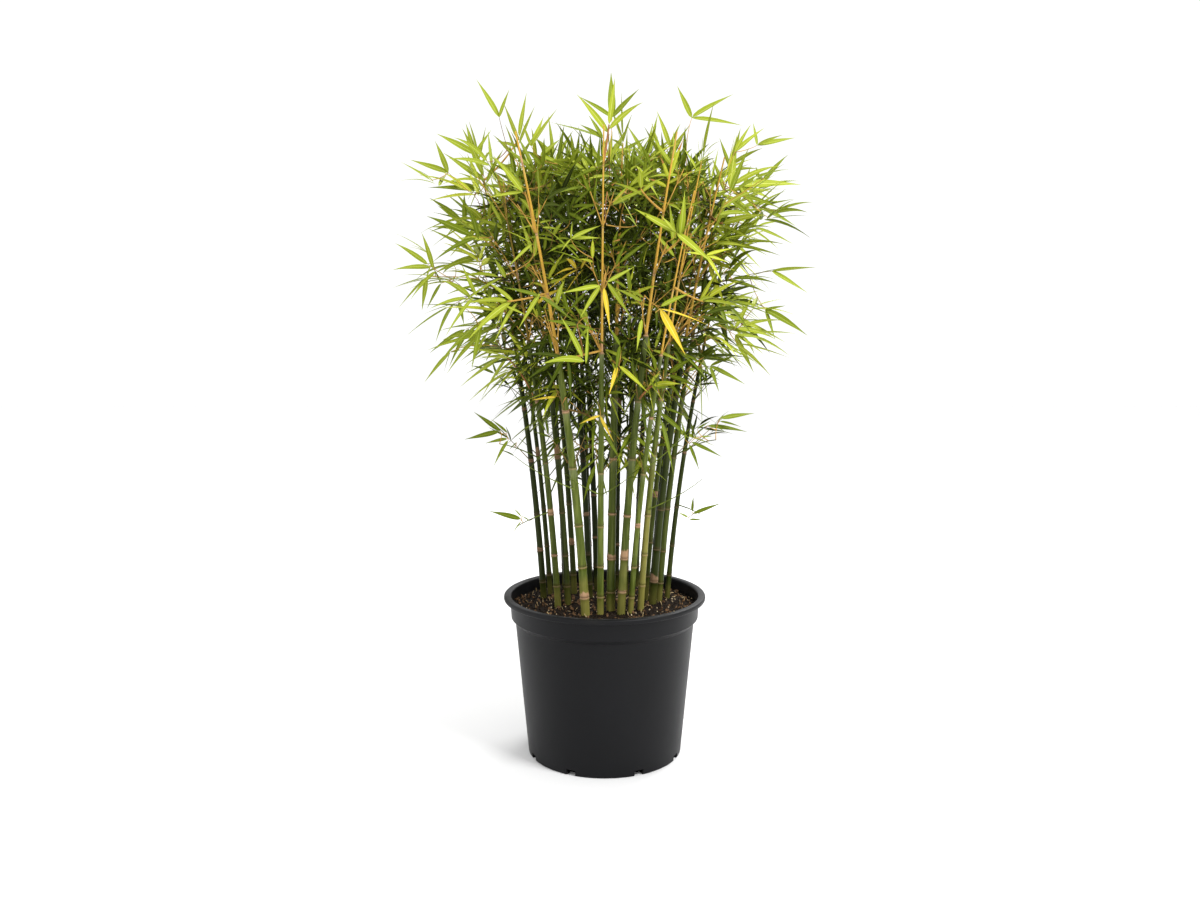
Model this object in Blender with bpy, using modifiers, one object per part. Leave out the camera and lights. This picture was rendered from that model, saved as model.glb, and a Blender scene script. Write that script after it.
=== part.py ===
"""Potted bamboo: one clump of bamboo canes in a round black nursery pot.

Metres, +Z up, the front towards -Y. The origin is the centre of the pot's flat underside.
Each sub-part is one closed solid: the pot, the soil, every cane, and every mass of foliage,
which is a stem that branches into three-sided twigs with leaves fused on. Pieces that touch
on the real plant lie GAP apart here.
"""

import math
import random

import bmesh
import bpy
import numpy as np
from mathutils import Matrix, Vector
from mathutils.bvhtree import BVHTree

GAP = 0.0003

# The pot: a tapered wall, a shoulder, a collar and a rolled rim.
POT_HEIGHT = 0.226
POT_STEPS = 40
BASE_RADIUS = 0.1080
WALL_TOP_RADIUS = 0.1250
WALL_TOP = 0.187
COLLAR_FOOT_RADIUS = 0.1308
COLLAR_FOOT = 0.194
COLLAR_RADIUS = 0.1322
RIM_RADIUS = 0.141
RIM_FOOT = 0.219
RIM_INNER_RADIUS = 0.1305
WALL = 0.0024
BASE_THICKNESS = 0.003
EDGE = 0.0015
DRAIN_ANGLES = (25, 65, 115, 155)
DRAIN_SIZE = (0.013, 0.024, 0.016)

SOIL_TOP = 0.210
SOIL_GAP = 0.0006

# Canes: foot x, foot y, thickness at the foot, lean to the tip in x and in y, height.
CANES = (
    (-0.087, 0.027, 0.0091, -0.086, 0.020, 0.610),
    (-0.079, 0.052, 0.0075, -0.072, 0.045, 0.545),
    (-0.065, -0.018, 0.0091, -0.072, -0.050, 0.580),
    (-0.051, -0.012, 0.0091, -0.064, -0.012, 0.600),
    (-0.044, 0.052, 0.0086, -0.060, 0.060, 0.590),
    (-0.026, -0.062, 0.0120, -0.082, -0.085, 0.620),
    (-0.021, 0.025, 0.0091, -0.048, 0.020, 0.610),
    (-0.011, 0.065, 0.0091, -0.034, 0.080, 0.575),
    (-0.006, -0.062, 0.0091, 0.004, -0.100, 0.625),
    (0.008, -0.046, 0.0120, 0.014, -0.045, 0.615),
    (0.017, 0.076, 0.0091, 0.016, 0.095, 0.590),
    (0.022, -0.058, 0.0110, 0.064, -0.085, 0.620),
    (0.030, 0.046, 0.0086, 0.030, 0.045, 0.615),
    (0.035, -0.052, 0.0080, 0.072, -0.100, 0.550),
    (0.049, -0.040, 0.0091, 0.070, -0.072, 0.590),
    (0.058, 0.014, 0.0080, 0.080, -0.010, 0.545),
    (0.067, -0.004, 0.0110, 0.088, -0.040, 0.605),
    (0.077, 0.012, 0.0091, 0.093, 0.010, 0.600),
    (0.090, 0.030, 0.0075, 0.100, 0.045, 0.560),
    (-0.058, 0.084, 0.0086, -0.048, 0.095, 0.575),
    (-0.022, 0.100, 0.0091, -0.030, 0.105, 0.605),
    (0.047, 0.098, 0.0091, 0.040, 0.100, 0.585),
    (0.070, 0.062, 0.0086, 0.085, 0.085, 0.590),
)
CANE_BEND = 0.42
CANE_TIP = 0.30
CANE_SIDES = 1
INTERNODE = 0.078
FIRST_INTERNODE = 0.44
FULL_INTERNODE_AT = 0.14
RIDGE = 1.14
RIDGE_HEIGHT = 0.0016
RIDGES_UP_TO = 0.40
FOOT_STRAIGHT = 0.003

# The crown: how far from the axis a leaf may reach at each height.
CROWN_REACH = (
    (0.30, 0.170),
    (0.40, 0.195),
    (0.48, 0.225),
    (0.56, 0.265),
    (0.65, 0.298),
    (0.74, 0.290),
    (0.82, 0.272),
    (0.88, 0.240),
    (0.92, 0.215),
    (0.935, 0.170),
    (0.946, 0.060),
)

# Rings of foliage masses: name, how many, height, distance from the axis, first angle, spread.
RINGS = (
    ("hanging_leaves", 2, 0.460, 0.070, 260, 0.100),
    ("lower_crown", 7, 0.540, 0.135, 245, 0.130),
    ("middle_crown", 8, 0.645, 0.172, 270, 0.140),
    ("upper_crown", 7, 0.745, 0.165, 285, 0.140),
    ("crown_heart", 2, 0.660, 0.040, 180, 0.120),
    ("crown_top", 3, 0.850, 0.088, 285, 0.135),
)
# Single sprays low on the canes: where their leaves gather, and how far those spread.
LOW_SPRAYS = (
    ((-0.118, -0.030, 0.327), 0.055),
    ((-0.142, -0.035, 0.440), 0.072),
    ((0.150, -0.030, 0.445), 0.078),
    ((0.132, 0.000, 0.338), 0.055),
)

# The stem of a mass: it leaves its cane squarely on a stub, and rises to the mass's heart.
HEART_LIFT = 0.016
STEM_RADIUS = 0.0017
STUB = 0.006
SHORTEST_STEM = 0.03
STEM_RISE = 0.55
STEM_DROP = 0.02
SEAT_FROM = 0.012
SEAT_STEP = 0.00005
SETTLE_ROUNDS = 8
SETTLE_STEP = 0.15
SETTLE_ABOVE = 0.04

# Twigs and leaves, larger than life so that fewer of them fill the crown.
TWIG_RADIUS = 0.0013
TWIG_TIP = 0.75
SHORTEST_TWIG = 0.015
LONGEST_TWIG = 0.075
SPOT_SPREAD = 0.62
SPOTS = 30
ROUNDS_A_TWIG = 4
CROWN_TWIGS = 4
LOW_TWIGS = 2
LEAF_LENGTH = 0.098
LEAF_WIDTH = 0.021
LEAF_THICKNESS = 0.0018
LEAF_WIDEST = 0.36
LEAF_VARIES = (0.88, 1.10)
LEAF_SIZES = (1.0, 0.8, 0.62)
LOW_LEAF_SIZE = 0.62
LEAF_STEP = 0.005
LEAF_TILT = (-0.22, 0.16)
LEAF_APART = 0.0022
ROOT_ZONE = 0.012
FAN_ANGLES = (0, 45, -45, 75, -75)
FAN_JITTER = 12
FAN_TURN = 62
FAN_TRIES = 15
LEAVES_A_TWIG = 3

SPACE_MARGIN = 0.0006
LIMB_CLEARANCE = 0.0010
WELD = 0.0000002
SEED = 7

COLOURS = {
    "black_plastic": ((0.022, 0.022, 0.024), 0.45),
    "potting_soil": ((0.045, 0.028, 0.018), 0.95),
    "cane": ((0.105, 0.165, 0.030), 0.40),
    "foliage": ((0.150, 0.300, 0.030), 0.50),
}


# ---------------------------------------------------------------- scene, materials, helpers


def clear_scene():
    for old in list(bpy.data.objects):
        bpy.data.objects.remove(old, do_unlink=True)


def new_collection(name):
    collection = bpy.data.collections.new(name)
    bpy.context.scene.collection.children.link(collection)
    return collection


def make_material(name):
    colour, roughness = COLOURS[name]
    material = bpy.data.materials.new(name)
    material.use_nodes = True
    shader = material.node_tree.nodes["Principled BSDF"]
    shader.inputs["Base Color"].default_value = (*colour, 1)
    shader.inputs["Roughness"].default_value = roughness
    shader.inputs["Metallic"].default_value = 0.0
    return material


def mesh_object(name, form, collection, material=None):
    mesh = bpy.data.meshes.new(name)
    form.to_mesh(mesh)
    form.free()
    obj = bpy.data.objects.new(name, mesh)
    collection.objects.link(obj)
    if material:
        mesh.materials.append(material)
    return obj


def turned(name, profile, collection, material):
    """A solid turned about Z from (radius, height) points that run down its outer side."""
    mesh = bpy.data.meshes.new(name)
    points = [(radius, 0, height) for radius, height in profile]
    mesh.from_pydata(points, [(i, i + 1) for i in range(len(points) - 1)], [])
    mesh.materials.append(material)
    obj = bpy.data.objects.new(name, mesh)
    collection.objects.link(obj)
    screw = obj.modifiers.new("turn", "SCREW")
    screw.axis = "Z"
    screw.steps = POT_STEPS
    screw.render_steps = POT_STEPS
    screw.use_merge_vertices = True
    screw.merge_threshold = 0.00001
    return obj


# ---------------------------------------------------------------- pot and soil


def inner_radius(height):
    """The pot's inner wall, straight from the base to the shoulder and to the rim."""
    heights = (0, WALL_TOP, COLLAR_FOOT, POT_HEIGHT)
    radii = (
        BASE_RADIUS - WALL,
        WALL_TOP_RADIUS - WALL,
        COLLAR_FOOT_RADIUS - WALL,
        RIM_INNER_RADIUS,
    )
    return float(np.interp(height, heights, radii))


def pot_profile():
    return (
        (0, BASE_THICKNESS),
        (inner_radius(BASE_THICKNESS), BASE_THICKNESS),
        (inner_radius(WALL_TOP), WALL_TOP),
        (inner_radius(COLLAR_FOOT), COLLAR_FOOT),
        (RIM_INNER_RADIUS, POT_HEIGHT - EDGE),
        (RIM_INNER_RADIUS + EDGE, POT_HEIGHT),
        (RIM_RADIUS - 1.4 * EDGE, POT_HEIGHT),
        (RIM_RADIUS - 0.4 * EDGE, POT_HEIGHT - 0.5 * EDGE),
        (RIM_RADIUS, POT_HEIGHT - 1.6 * EDGE),
        (RIM_RADIUS, RIM_FOOT + EDGE),
        (RIM_RADIUS - EDGE, RIM_FOOT),
        (COLLAR_RADIUS, RIM_FOOT),
        (COLLAR_FOOT_RADIUS, COLLAR_FOOT),
        (WALL_TOP_RADIUS, WALL_TOP),
        (BASE_RADIUS + EDGE, 1.5 * EDGE),
        (BASE_RADIUS - EDGE, 0),
        (0, 0),
    )


def drain_cutters(collection):
    """Eight blocks that cut the drain holes through the corner of wall and base."""
    form = bmesh.new()
    width, depth, height = DRAIN_SIZE
    size = Matrix.Diagonal((width, depth, height, 1))
    move = Matrix.Translation((0, -BASE_RADIUS, 0))
    for angle in DRAIN_ANGLES + tuple(-a for a in DRAIN_ANGLES):
        turn = Matrix.Rotation(math.radians(angle), 4, "Z")
        bmesh.ops.create_cube(form, size=1, matrix=turn @ move @ size)
    cutter = mesh_object("drain_cutters", form, collection)
    cutter.hide_render = True
    cutter.display_type = "WIRE"
    return cutter


def make_pot(collection, helpers, material):
    pot = turned("pot", pot_profile(), collection, material)
    drains = pot.modifiers.new("drain_holes", "BOOLEAN")
    drains.operation = "DIFFERENCE"
    drains.solver = "EXACT"
    drains.object = drain_cutters(helpers)
    return pot


def make_soil(collection, material):
    foot = BASE_THICKNESS + GAP
    heights = (SOIL_TOP, COLLAR_FOOT, WALL_TOP, foot)
    side = [(inner_radius(height) - SOIL_GAP, height) for height in heights]
    return turned("soil", [(0, SOIL_TOP), *side, (0, foot)], collection, material)


# ---------------------------------------------------------------- canes


class Cane:
    """One cane: its path, its thickness and the heights of its nodes above its foot."""

    def __init__(self, number, sizes):
        foot_x, foot_y, thickness, lean_x, lean_y, height = sizes
        self.name = f"cane_{number:02d}"
        self.foot = np.array((foot_x, foot_y, SOIL_TOP + GAP))
        self.lean = np.array((lean_x, lean_y, 0.0))
        self.radius = thickness / 2
        self.height = height
        rng = random.Random(SEED + number)
        self.joints = []
        at = INTERNODE * FIRST_INTERNODE * rng.uniform(0.6, 1.1)
        while at < height - INTERNODE / 3:
            self.joints.append(at)
            low = min(1, FIRST_INTERNODE + (1 - FIRST_INTERNODE) * at / FULL_INTERNODE_AT)
            at += INTERNODE * low * rng.uniform(0.92, 1.08)

    def at(self, up):
        """The middle of the cane at a height above its foot: it leans more the higher it is."""
        share = max(0, up - FOOT_STRAIGHT) / (self.height - FOOT_STRAIGHT)
        bend = CANE_BEND * share + (1 - CANE_BEND) * share**2
        return self.foot + self.lean * bend + np.array((0, 0, up))

    def thick(self, up):
        share = up / self.height
        return self.radius * (1 - (1 - CANE_TIP) * share**1.3)

    def rings(self):
        """(height, radius) of each ring: a small ridge at each low node, fewer rings above."""
        yield 0.0, self.radius
        yield FOOT_STRAIGHT, self.radius
        for number, joint in enumerate(self.joints):
            if joint < RIDGES_UP_TO * self.height:
                yield joint - RIDGE_HEIGHT, self.thick(joint) * RIDGE
                yield joint + RIDGE_HEIGHT, self.thick(joint)
            elif number % 2:
                yield joint, self.thick(joint)
        yield self.height, self.thick(self.height)


def make_cane(cane, collection, material):
    curve = bpy.data.curves.new(cane.name, "CURVE")
    curve.dimensions = "3D"
    curve.bevel_depth = cane.radius
    curve.bevel_resolution = CANE_SIDES
    curve.use_fill_caps = True
    rings = list(cane.rings())
    spline = curve.splines.new("POLY")
    spline.points.add(len(rings) - 1)
    for point, (up, radius) in zip(spline.points, rings):
        point.co = (*cane.at(up), 1)
        point.radius = radius / cane.radius
    curve.materials.append(material)
    obj = bpy.data.objects.new(cane.name, curve)
    collection.objects.link(obj)
    return obj


class Limbs:
    """All the canes as straight pieces, to measure how far foliage lies from them."""

    def __init__(self, canes):
        starts, ends, radii, owners = [], [], [], []
        for number, cane in enumerate(canes):
            rings = list(cane.rings())
            for (low, wide), (high, _) in zip(rings, rings[1:]):
                starts.append(cane.at(low))
                ends.append(cane.at(high))
                radii.append(wide)
                owners.append(number)
        self.starts = np.array(starts)
        self.along = np.array(ends) - self.starts
        self.radii = np.array(radii)
        self.owners = np.array(owners)
        self.squares = (self.along**2).sum(1)

    def clearance(self, points, leave_out=None):
        """The least distance from the points to any cane's surface, but for one cane."""
        away = points[:, None, :] - self.starts[None]
        share = np.clip((away * self.along).sum(2) / self.squares, 0, 1)
        away -= share[:, :, None] * self.along
        distance = np.sqrt((away**2).sum(2)) - self.radii
        if leave_out is not None:
            distance[:, self.owners == leave_out] = 1
        return distance.min()


# ---------------------------------------------------------------- foliage masses


def reach(height):
    heights, radii = zip(*CROWN_REACH)
    return np.interp(height, heights, radii, left=0, right=0)


class Mass:
    """One mass of foliage: the space that it keeps to, and what has grown in it."""

    def __init__(self, name, heart, spread, twig_count, leaf_size):
        self.name = name
        self.heart = np.array(heart)
        self.spread = spread
        self.twig_count = twig_count
        self.leaf_size = leaf_size
        self.stem_start = None
        self.twigs = []
        self.leaves = []
        self.blades = []

    def holds(self, points, hearts, stem=False):
        """True where every point lies in this mass's own space, nearer its heart than others."""
        own = ((points - self.heart) ** 2).sum(1)
        if own.max() > self.spread**2 and not stem:
            return False
        if (np.hypot(points[:, 0], points[:, 1]) > reach(points[:, 2])).any():
            return False
        for other in hearts:
            apart = np.linalg.norm(other - self.heart)
            if apart < 1e-6:
                continue
            beyond = (((points - other) ** 2).sum(1) - own) / (2 * apart)
            if beyond.min() < SPACE_MARGIN:
                return False
        return True


def plan_masses():
    masses = []
    for name, count, height, radius, first, spread in RINGS:
        for number in range(count):
            angle = math.radians(first + 360 * number / count)
            lift = HEART_LIFT * (-1) ** number
            heart = (radius * math.cos(angle), radius * math.sin(angle), height + lift)
            masses.append(Mass(f"{name}_{number + 1}", heart, spread, CROWN_TWIGS, 1.0))
    for number, (heart, spread) in enumerate(LOW_SPRAYS):
        name = f"low_spray_{number + 1}"
        masses.append(Mass(name, heart, spread, LOW_TWIGS, LOW_LEAF_SIZE))
    return masses


def unit(vector):
    return vector / np.linalg.norm(vector)


def turn(vector, axis, degrees):
    return np.array(Matrix.Rotation(math.radians(degrees), 3, Vector(axis)) @ Vector(vector))


def line_points(start, end, count=12):
    return start + (end - start) * np.linspace(0, 1, count)[:, None]


def leaf_points(base, tip, side, width):
    """Points all over a leaf's blade, to test its space."""
    middle = base + (tip - base) * LEAF_WIDEST
    rows = []
    for across in (-0.5, -0.25, 0, 0.25, 0.5):
        edge = middle + side * across * width
        rows.append(line_points(base, edge, 9))
        rows.append(line_points(edge, tip, 14))
    return np.concatenate(rows)


def find_root(mass, canes, limbs, hearts):
    """The cane's node that the mass's stem grows from: near, below it and with a clear way."""
    best = None
    for number, cane in enumerate(canes):
        for joint in cane.joints:
            on_cane = cane.at(joint)
            way = mass.heart - on_cane
            distance = np.linalg.norm(way)
            if distance < SHORTEST_STEM or way[2] < -STEM_DROP:
                continue
            score = distance * (1 + abs(way[2] / distance - STEM_RISE))
            if best and score > best[0]:
                continue
            path = line_points(on_cane, mass.heart, 24)
            if not mass.holds(path, hearts, stem=True):
                continue
            if limbs.clearance(path, leave_out=number) > STEM_RADIUS + LIMB_CLEARANCE:
                best = (score, number, joint)
    return best


def settle(masses, canes, limbs):
    """Moves a mass whose stem finds no clear way a little nearer to its cane, in a few rounds."""
    nodes = [cane.at(joint) for cane in canes for joint in cane.joints]
    for _ in range(SETTLE_ROUNDS):
        hearts = [mass.heart.copy() for mass in masses]
        for mass in masses:
            if find_root(mass, canes, limbs, hearts) is None:
                nearest = min(nodes, key=lambda node: np.linalg.norm(node - mass.heart))
                mass.heart += SETTLE_STEP * (nearest + (0, 0, SETTLE_ABOVE) - mass.heart)


def seat(tree, on_cane, outward):
    """How far from the cane's middle a stem's end face lies GAP clear of its surface."""
    side = unit(np.cross(outward, (0, 0, 1)))
    up = np.cross(side, outward)
    ring = [
        STEM_RADIUS * (side * math.cos(a) + up * math.sin(a))
        for a in np.linspace(0, 2 * math.pi, 12, endpoint=False)
    ]
    ring.append(np.zeros(3))
    distance = SEAT_FROM
    while distance > 0:
        face = on_cane + outward * distance
        nearest = min(tree.find_nearest(Vector(face + offset))[3] for offset in ring)
        if nearest <= GAP:
            return distance
        distance -= SEAT_STEP
    return distance


def grow_stem(mass, canes, limbs, trees, hearts):
    """The stem leaves its cane squarely on a short stub, then rises to the mass's heart."""
    found = find_root(mass, canes, limbs, hearts)
    if found is None:
        return False
    _, number, joint = found
    cane = canes[number]
    on_cane = cane.at(joint)
    axis = unit(cane.at(joint + RIDGE_HEIGHT) - cane.at(joint - RIDGE_HEIGHT))
    way = unit(mass.heart - on_cane)
    outward = unit(way - axis * way.dot(axis))
    root = on_cane + outward * seat(trees[number], on_cane, outward)
    elbow = root + outward * STUB
    mass.twigs.append((root, elbow + outward * STEM_RADIUS * 0.5, STEM_RADIUS, STEM_RADIUS))
    mass.twigs.append((elbow, mass.heart, STEM_RADIUS, TWIG_RADIUS))
    mass.stem_start = elbow
    return True


def grow_leaf(mass, base, direction, side, limbs, hearts, rng):
    """One leaf from a twig, or none where it would leave the space or touch cane or leaf."""
    length = LEAF_LENGTH * mass.leaf_size * rng.uniform(*LEAF_VARIES)
    for size in LEAF_SIZES:
        tip = base + direction * length * size
        width = LEAF_WIDTH * mass.leaf_size * (0.5 + 0.5 * size)
        points = leaf_points(base, tip, side, width)
        if not mass.holds(points, hearts):
            continue
        if limbs.clearance(points) < LIMB_CLEARANCE + LEAF_THICKNESS / 2:
            continue
        blade = points[np.linalg.norm(points - base, axis=1) > ROOT_ZONE]
        if crowded(blade, mass.blades):
            continue
        mass.leaves.append((base, tip, side, width))
        mass.blades.append(blade)
        return True
    return False


def crowded(blade, others):
    """True where a leaf's points come too near the points of another leaf."""
    for other in others:
        apart = blade[:, None, :] - other[None]
        if (apart**2).sum(2).min() < LEAF_APART**2:
            return True
    return False


def grow_fan(mass, fork, tip, limbs, hearts, rng):
    """Leaves stand in turn to the left and right of a twig's last part, one at its tip."""
    heading = unit(tip - fork)
    spread = unit(np.cross(heading, np.array([rng.gauss(0, 1) for _ in range(3)])))
    grown = 0
    for attempt in range(FAN_TRIES):
        if grown == LEAVES_A_TWIG:
            break
        angle = FAN_ANGLES[attempt % len(FAN_ANGLES)]
        back = 0.0005 + LEAF_STEP * grown
        if angle:
            angle += rng.uniform(-FAN_JITTER, FAN_JITTER)
            back += LEAF_STEP / 2
        way = turn(heading, spread, angle)
        way = unit(way + np.array((0, 0, rng.uniform(*LEAF_TILT))))
        side = unit(np.cross(way, np.array([rng.gauss(0, 1) for _ in range(3)])))
        grown += grow_leaf(mass, tip - heading * back, way, side, limbs, hearts, rng)
        if attempt % len(FAN_ANGLES) == len(FAN_ANGLES) - 1:
            spread = turn(spread, heading, FAN_TURN)
    return grown


def find_spot(mass, forks, tips, limbs, hearts, rng):
    """The emptiest of some chance spots that a twig can reach from the nearest wood, or None."""
    best = None
    for _ in range(SPOTS):
        offset = np.array([rng.uniform(-1, 1) for _ in range(3)]) * mass.spread * SPOT_SPREAD
        spot = mass.heart + offset
        if not mass.holds(spot[None], hearts):
            continue
        fork = min(forks, key=lambda wood: np.linalg.norm(spot - wood))
        if not SHORTEST_TWIG <= np.linalg.norm(spot - fork) <= LONGEST_TWIG:
            continue
        path = line_points(fork, spot)
        if not mass.holds(path, hearts):
            continue
        if limbs.clearance(path) < TWIG_RADIUS + LIMB_CLEARANCE:
            continue
        space = min(np.linalg.norm(spot - tip) for tip in tips)
        if best is None or space > best[0]:
            best = (space, fork, spot)
    return best and best[1:]


def grow_twigs(mass, limbs, hearts, rng):
    """Twigs grow one by one, each to the emptiest spot, and stay where they bear a leaf."""
    tips = [mass.heart]
    forks = list(line_points(mass.stem_start, mass.heart, 7)[2:])
    grow_fan(mass, mass.stem_start, mass.heart, limbs, hearts, rng)
    for _ in range(mass.twig_count * ROUNDS_A_TWIG):
        if len(tips) > mass.twig_count:
            break
        found = find_spot(mass, forks, tips, limbs, hearts, rng)
        if found is None:
            continue
        fork, spot = found
        if grow_fan(mass, fork, spot, limbs, hearts, rng):
            mass.twigs.append((fork, spot, TWIG_RADIUS, TWIG_RADIUS * TWIG_TIP))
            tips.append(spot)
            forks.append((fork + spot) / 2)


def twig_solid(name, twig, collection):
    """A three-sided tapering twig between two points."""
    start, end, wide, narrow = twig
    way = Vector(end - start)
    middle = Matrix.Translation(Vector((start + end) / 2))
    heading = way.to_track_quat("Z", "Y").to_matrix().to_4x4()
    form = bmesh.new()
    bmesh.ops.create_cone(
        form, cap_ends=True, segments=3, radius1=wide, radius2=narrow, depth=way.length,
        matrix=middle @ heading,
    )
    bmesh.ops.triangulate(form, faces=form.faces)
    return mesh_object(name, form, collection)


def leaf_solid(name, leaf, collection):
    """An eight-faced blade: a sphere of four by two faces, flattened and drawn to two points."""
    start, tip, side, width = leaf
    form = bmesh.new()
    bmesh.ops.create_uvsphere(form, u_segments=4, v_segments=2, radius=1)
    along = tip - start
    normal = unit(np.cross(along, side))
    for vertex in form.verts:
        x, y, z = vertex.co
        share = {1: 1.0, -1: 0.0}.get(round(z), LEAF_WIDEST)
        point = start + along * share
        vertex.co = point + side * x * width / 2 + normal * y * LEAF_THICKNESS / 2
    return mesh_object(name, form, collection)


def keep_largest_shell(form):
    """Drops loose scraps, and the inner shells of sealed hollows, which fills them."""
    form.faces.ensure_lookup_table()
    unseen = set(form.faces)
    shells = []
    while unseen:
        shell = {unseen.pop()}
        front = list(shell)
        while front:
            face = front.pop()
            for edge in face.edges:
                for other in edge.link_faces:
                    if other in unseen:
                        unseen.remove(other)
                        shell.add(other)
                        front.append(other)
        shells.append(shell)
    shells.sort(key=len)
    for shell in shells[:-1]:
        bmesh.ops.delete(form, geom=list(shell), context="FACES")


def join_pieces(stem, pieces):
    """The stem and the collection's pieces as one closed form, by one Boolean union."""
    join = stem.modifiers.new("join", "BOOLEAN")
    join.operation = "UNION"
    join.operand_type = "COLLECTION"
    join.collection = pieces
    join.solver = "MANIFOLD"
    bpy.context.view_layer.update()
    graph = bpy.context.evaluated_depsgraph_get()
    form = bmesh.new()
    form.from_mesh(stem.evaluated_get(graph).data)
    stem.modifiers.remove(join)
    keep_largest_shell(form)
    bmesh.ops.triangulate(form, faces=form.faces)
    return form


def is_sound(form):
    """True where the form stays closed, and touches itself along no edge, once points meet."""
    welded = form.copy()
    bmesh.ops.remove_doubles(welded, verts=welded.verts, dist=WELD)
    sound = all(len(edge.link_faces) == 2 for edge in welded.edges)
    welded.free()
    return sound


def join_soundly(stem, pieces, leaves):
    """The join with every leaf or, where that isn't sound, without the leaf that spoils it."""
    form = join_pieces(stem, pieces)
    for leaf in leaves:
        if is_sound(form):
            break
        pieces.objects.unlink(leaf)
        form.free()
        form = join_pieces(stem, pieces)
        if not is_sound(form):
            pieces.objects.link(leaf)
    return form


def make_mass(mass, collection, material):
    """Joins a mass's twigs and leaves, with a leaf fewer as long as the join isn't sound."""
    pieces = new_collection(mass.name + "_pieces")
    stem = twig_solid(mass.name, mass.twigs[0], collection)
    twigs = [twig_solid(f"twig_{n}", twig, pieces) for n, twig in enumerate(mass.twigs[1:])]
    leaves = [leaf_solid(f"leaf_{n}", leaf, pieces) for n, leaf in enumerate(mass.leaves)]
    form = join_soundly(stem, pieces, leaves)
    form.to_mesh(stem.data)
    form.free()
    stem.data.materials.clear()
    stem.data.materials.append(material)
    for piece in leaves + twigs:
        bpy.data.objects.remove(piece, do_unlink=True)
    bpy.data.collections.remove(pieces)
    return stem


def main():
    clear_scene()
    plant = new_collection("potted_bamboo")
    helpers = new_collection("cutters")
    materials = {name: make_material(name) for name in COLOURS}
    make_pot(plant, helpers, materials["black_plastic"])
    make_soil(plant, materials["potting_soil"])

    canes = [Cane(number, sizes) for number, sizes in enumerate(CANES, start=1)]
    made = [make_cane(cane, plant, materials["cane"]) for cane in canes]
    bpy.context.view_layer.update()
    graph = bpy.context.evaluated_depsgraph_get()
    trees = [BVHTree.FromObject(obj, graph) for obj in made]
    limbs = Limbs(canes)

    masses = plan_masses()
    settle(masses, canes, limbs)
    hearts = [mass.heart for mass in masses]
    total = 0
    for number, mass in enumerate(masses):
        if not grow_stem(mass, canes, limbs, trees, hearts):
            print("no clear way for the stem of", mass.name)
            continue
        grow_twigs(mass, limbs, hearts, random.Random(SEED * 100 + number))
        make_mass(mass, plant, materials["foliage"])
        total += len(mass.leaves)
        print(mass.name, len(mass.twigs), "twigs", len(mass.leaves), "leaves")
    print(len(canes), "canes,", len(masses), "masses,", total, "leaves")


main()
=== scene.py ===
# %% [markdown]
# # Potted bamboo
# A young clump of bamboo stands in a black nursery pot: twenty-three canes, a crown of thin golden
# twigs and long narrow leaves, and a dark potting mix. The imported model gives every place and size.
# This lesson dresses it: each plain solid stays where it is, or gives way to a finer mesh.

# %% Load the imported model
import math
import random

import bmesh
import bpy
import numpy as np
from mathutils import Matrix, Vector


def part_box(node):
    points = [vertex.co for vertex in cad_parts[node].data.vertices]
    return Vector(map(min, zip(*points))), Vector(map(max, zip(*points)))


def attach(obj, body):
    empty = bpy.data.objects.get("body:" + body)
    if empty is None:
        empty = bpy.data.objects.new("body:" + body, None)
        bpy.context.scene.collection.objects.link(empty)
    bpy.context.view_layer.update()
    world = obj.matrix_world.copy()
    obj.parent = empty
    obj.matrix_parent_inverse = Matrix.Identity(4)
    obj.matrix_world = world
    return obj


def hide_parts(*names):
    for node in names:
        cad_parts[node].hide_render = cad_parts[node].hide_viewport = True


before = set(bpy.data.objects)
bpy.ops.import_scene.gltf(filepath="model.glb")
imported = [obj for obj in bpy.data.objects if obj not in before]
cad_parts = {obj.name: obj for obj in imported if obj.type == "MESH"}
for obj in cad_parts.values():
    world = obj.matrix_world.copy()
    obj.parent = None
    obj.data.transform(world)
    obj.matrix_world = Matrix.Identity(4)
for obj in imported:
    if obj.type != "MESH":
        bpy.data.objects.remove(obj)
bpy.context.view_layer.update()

pot_low, pot_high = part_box("pot")
soil_low, soil_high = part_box("soil")
pot_height = pot_high.z
rim_radius = (pot_high.x - pot_low.x) / 2
soil_top = soil_high.z

# %% [markdown]
# ## Objects and meshes
# Everything in a scene is an object that shows some data, and every form drawn with bmesh is kept as a
# mesh. These steps come back all through the lesson, so each of them is one function.


# %% Objects and meshes
def add_object(name, data):
    obj = bpy.data.objects.new(name, data)
    bpy.context.scene.collection.objects.link(obj)
    return obj


def kept_mesh(form, name):
    """The form as a mesh. The form itself is freed."""
    mesh = bpy.data.meshes.new(name)
    form.to_mesh(mesh)
    form.free()
    return mesh


def point_mesh(name, points, edges=()):
    """A mesh of points, and of edges between some of them."""
    mesh = bpy.data.meshes.new(name)
    mesh.from_pydata([tuple(map(float, point)) for point in points], list(edges), [])
    return mesh


def new_piece(name, mesh, material):
    mesh.materials.append(material)
    return add_object(name, mesh)


def triangles(obj):
    return sum(len(face.vertices) - 2 for face in obj.data.polygons)


def add_values(mesh, name, values, kind="FLOAT"):
    """One value for each point of the mesh, kept under a name that trees and finishes can read."""
    layer = mesh.attributes.new(name, kind, "POINT")
    key = "vector" if kind == "FLOAT_VECTOR" else "value"
    layer.data.foreach_set(key, np.ascontiguousarray(values, dtype=np.float32).ravel())


# %% [markdown]
# ## The camera
# It stands a metre and a half in front of the plant, a little below the top of the crown, and looks
# down by a few degrees, so that the soil shows inside the rim.

# %% Camera
CAMERA_PLACE = (-0.0065, -1.460, 0.608)
CAMERA_PITCH = 7.05
CAMERA_LENS = 31.95
SENSOR_WIDTH = 36

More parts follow.
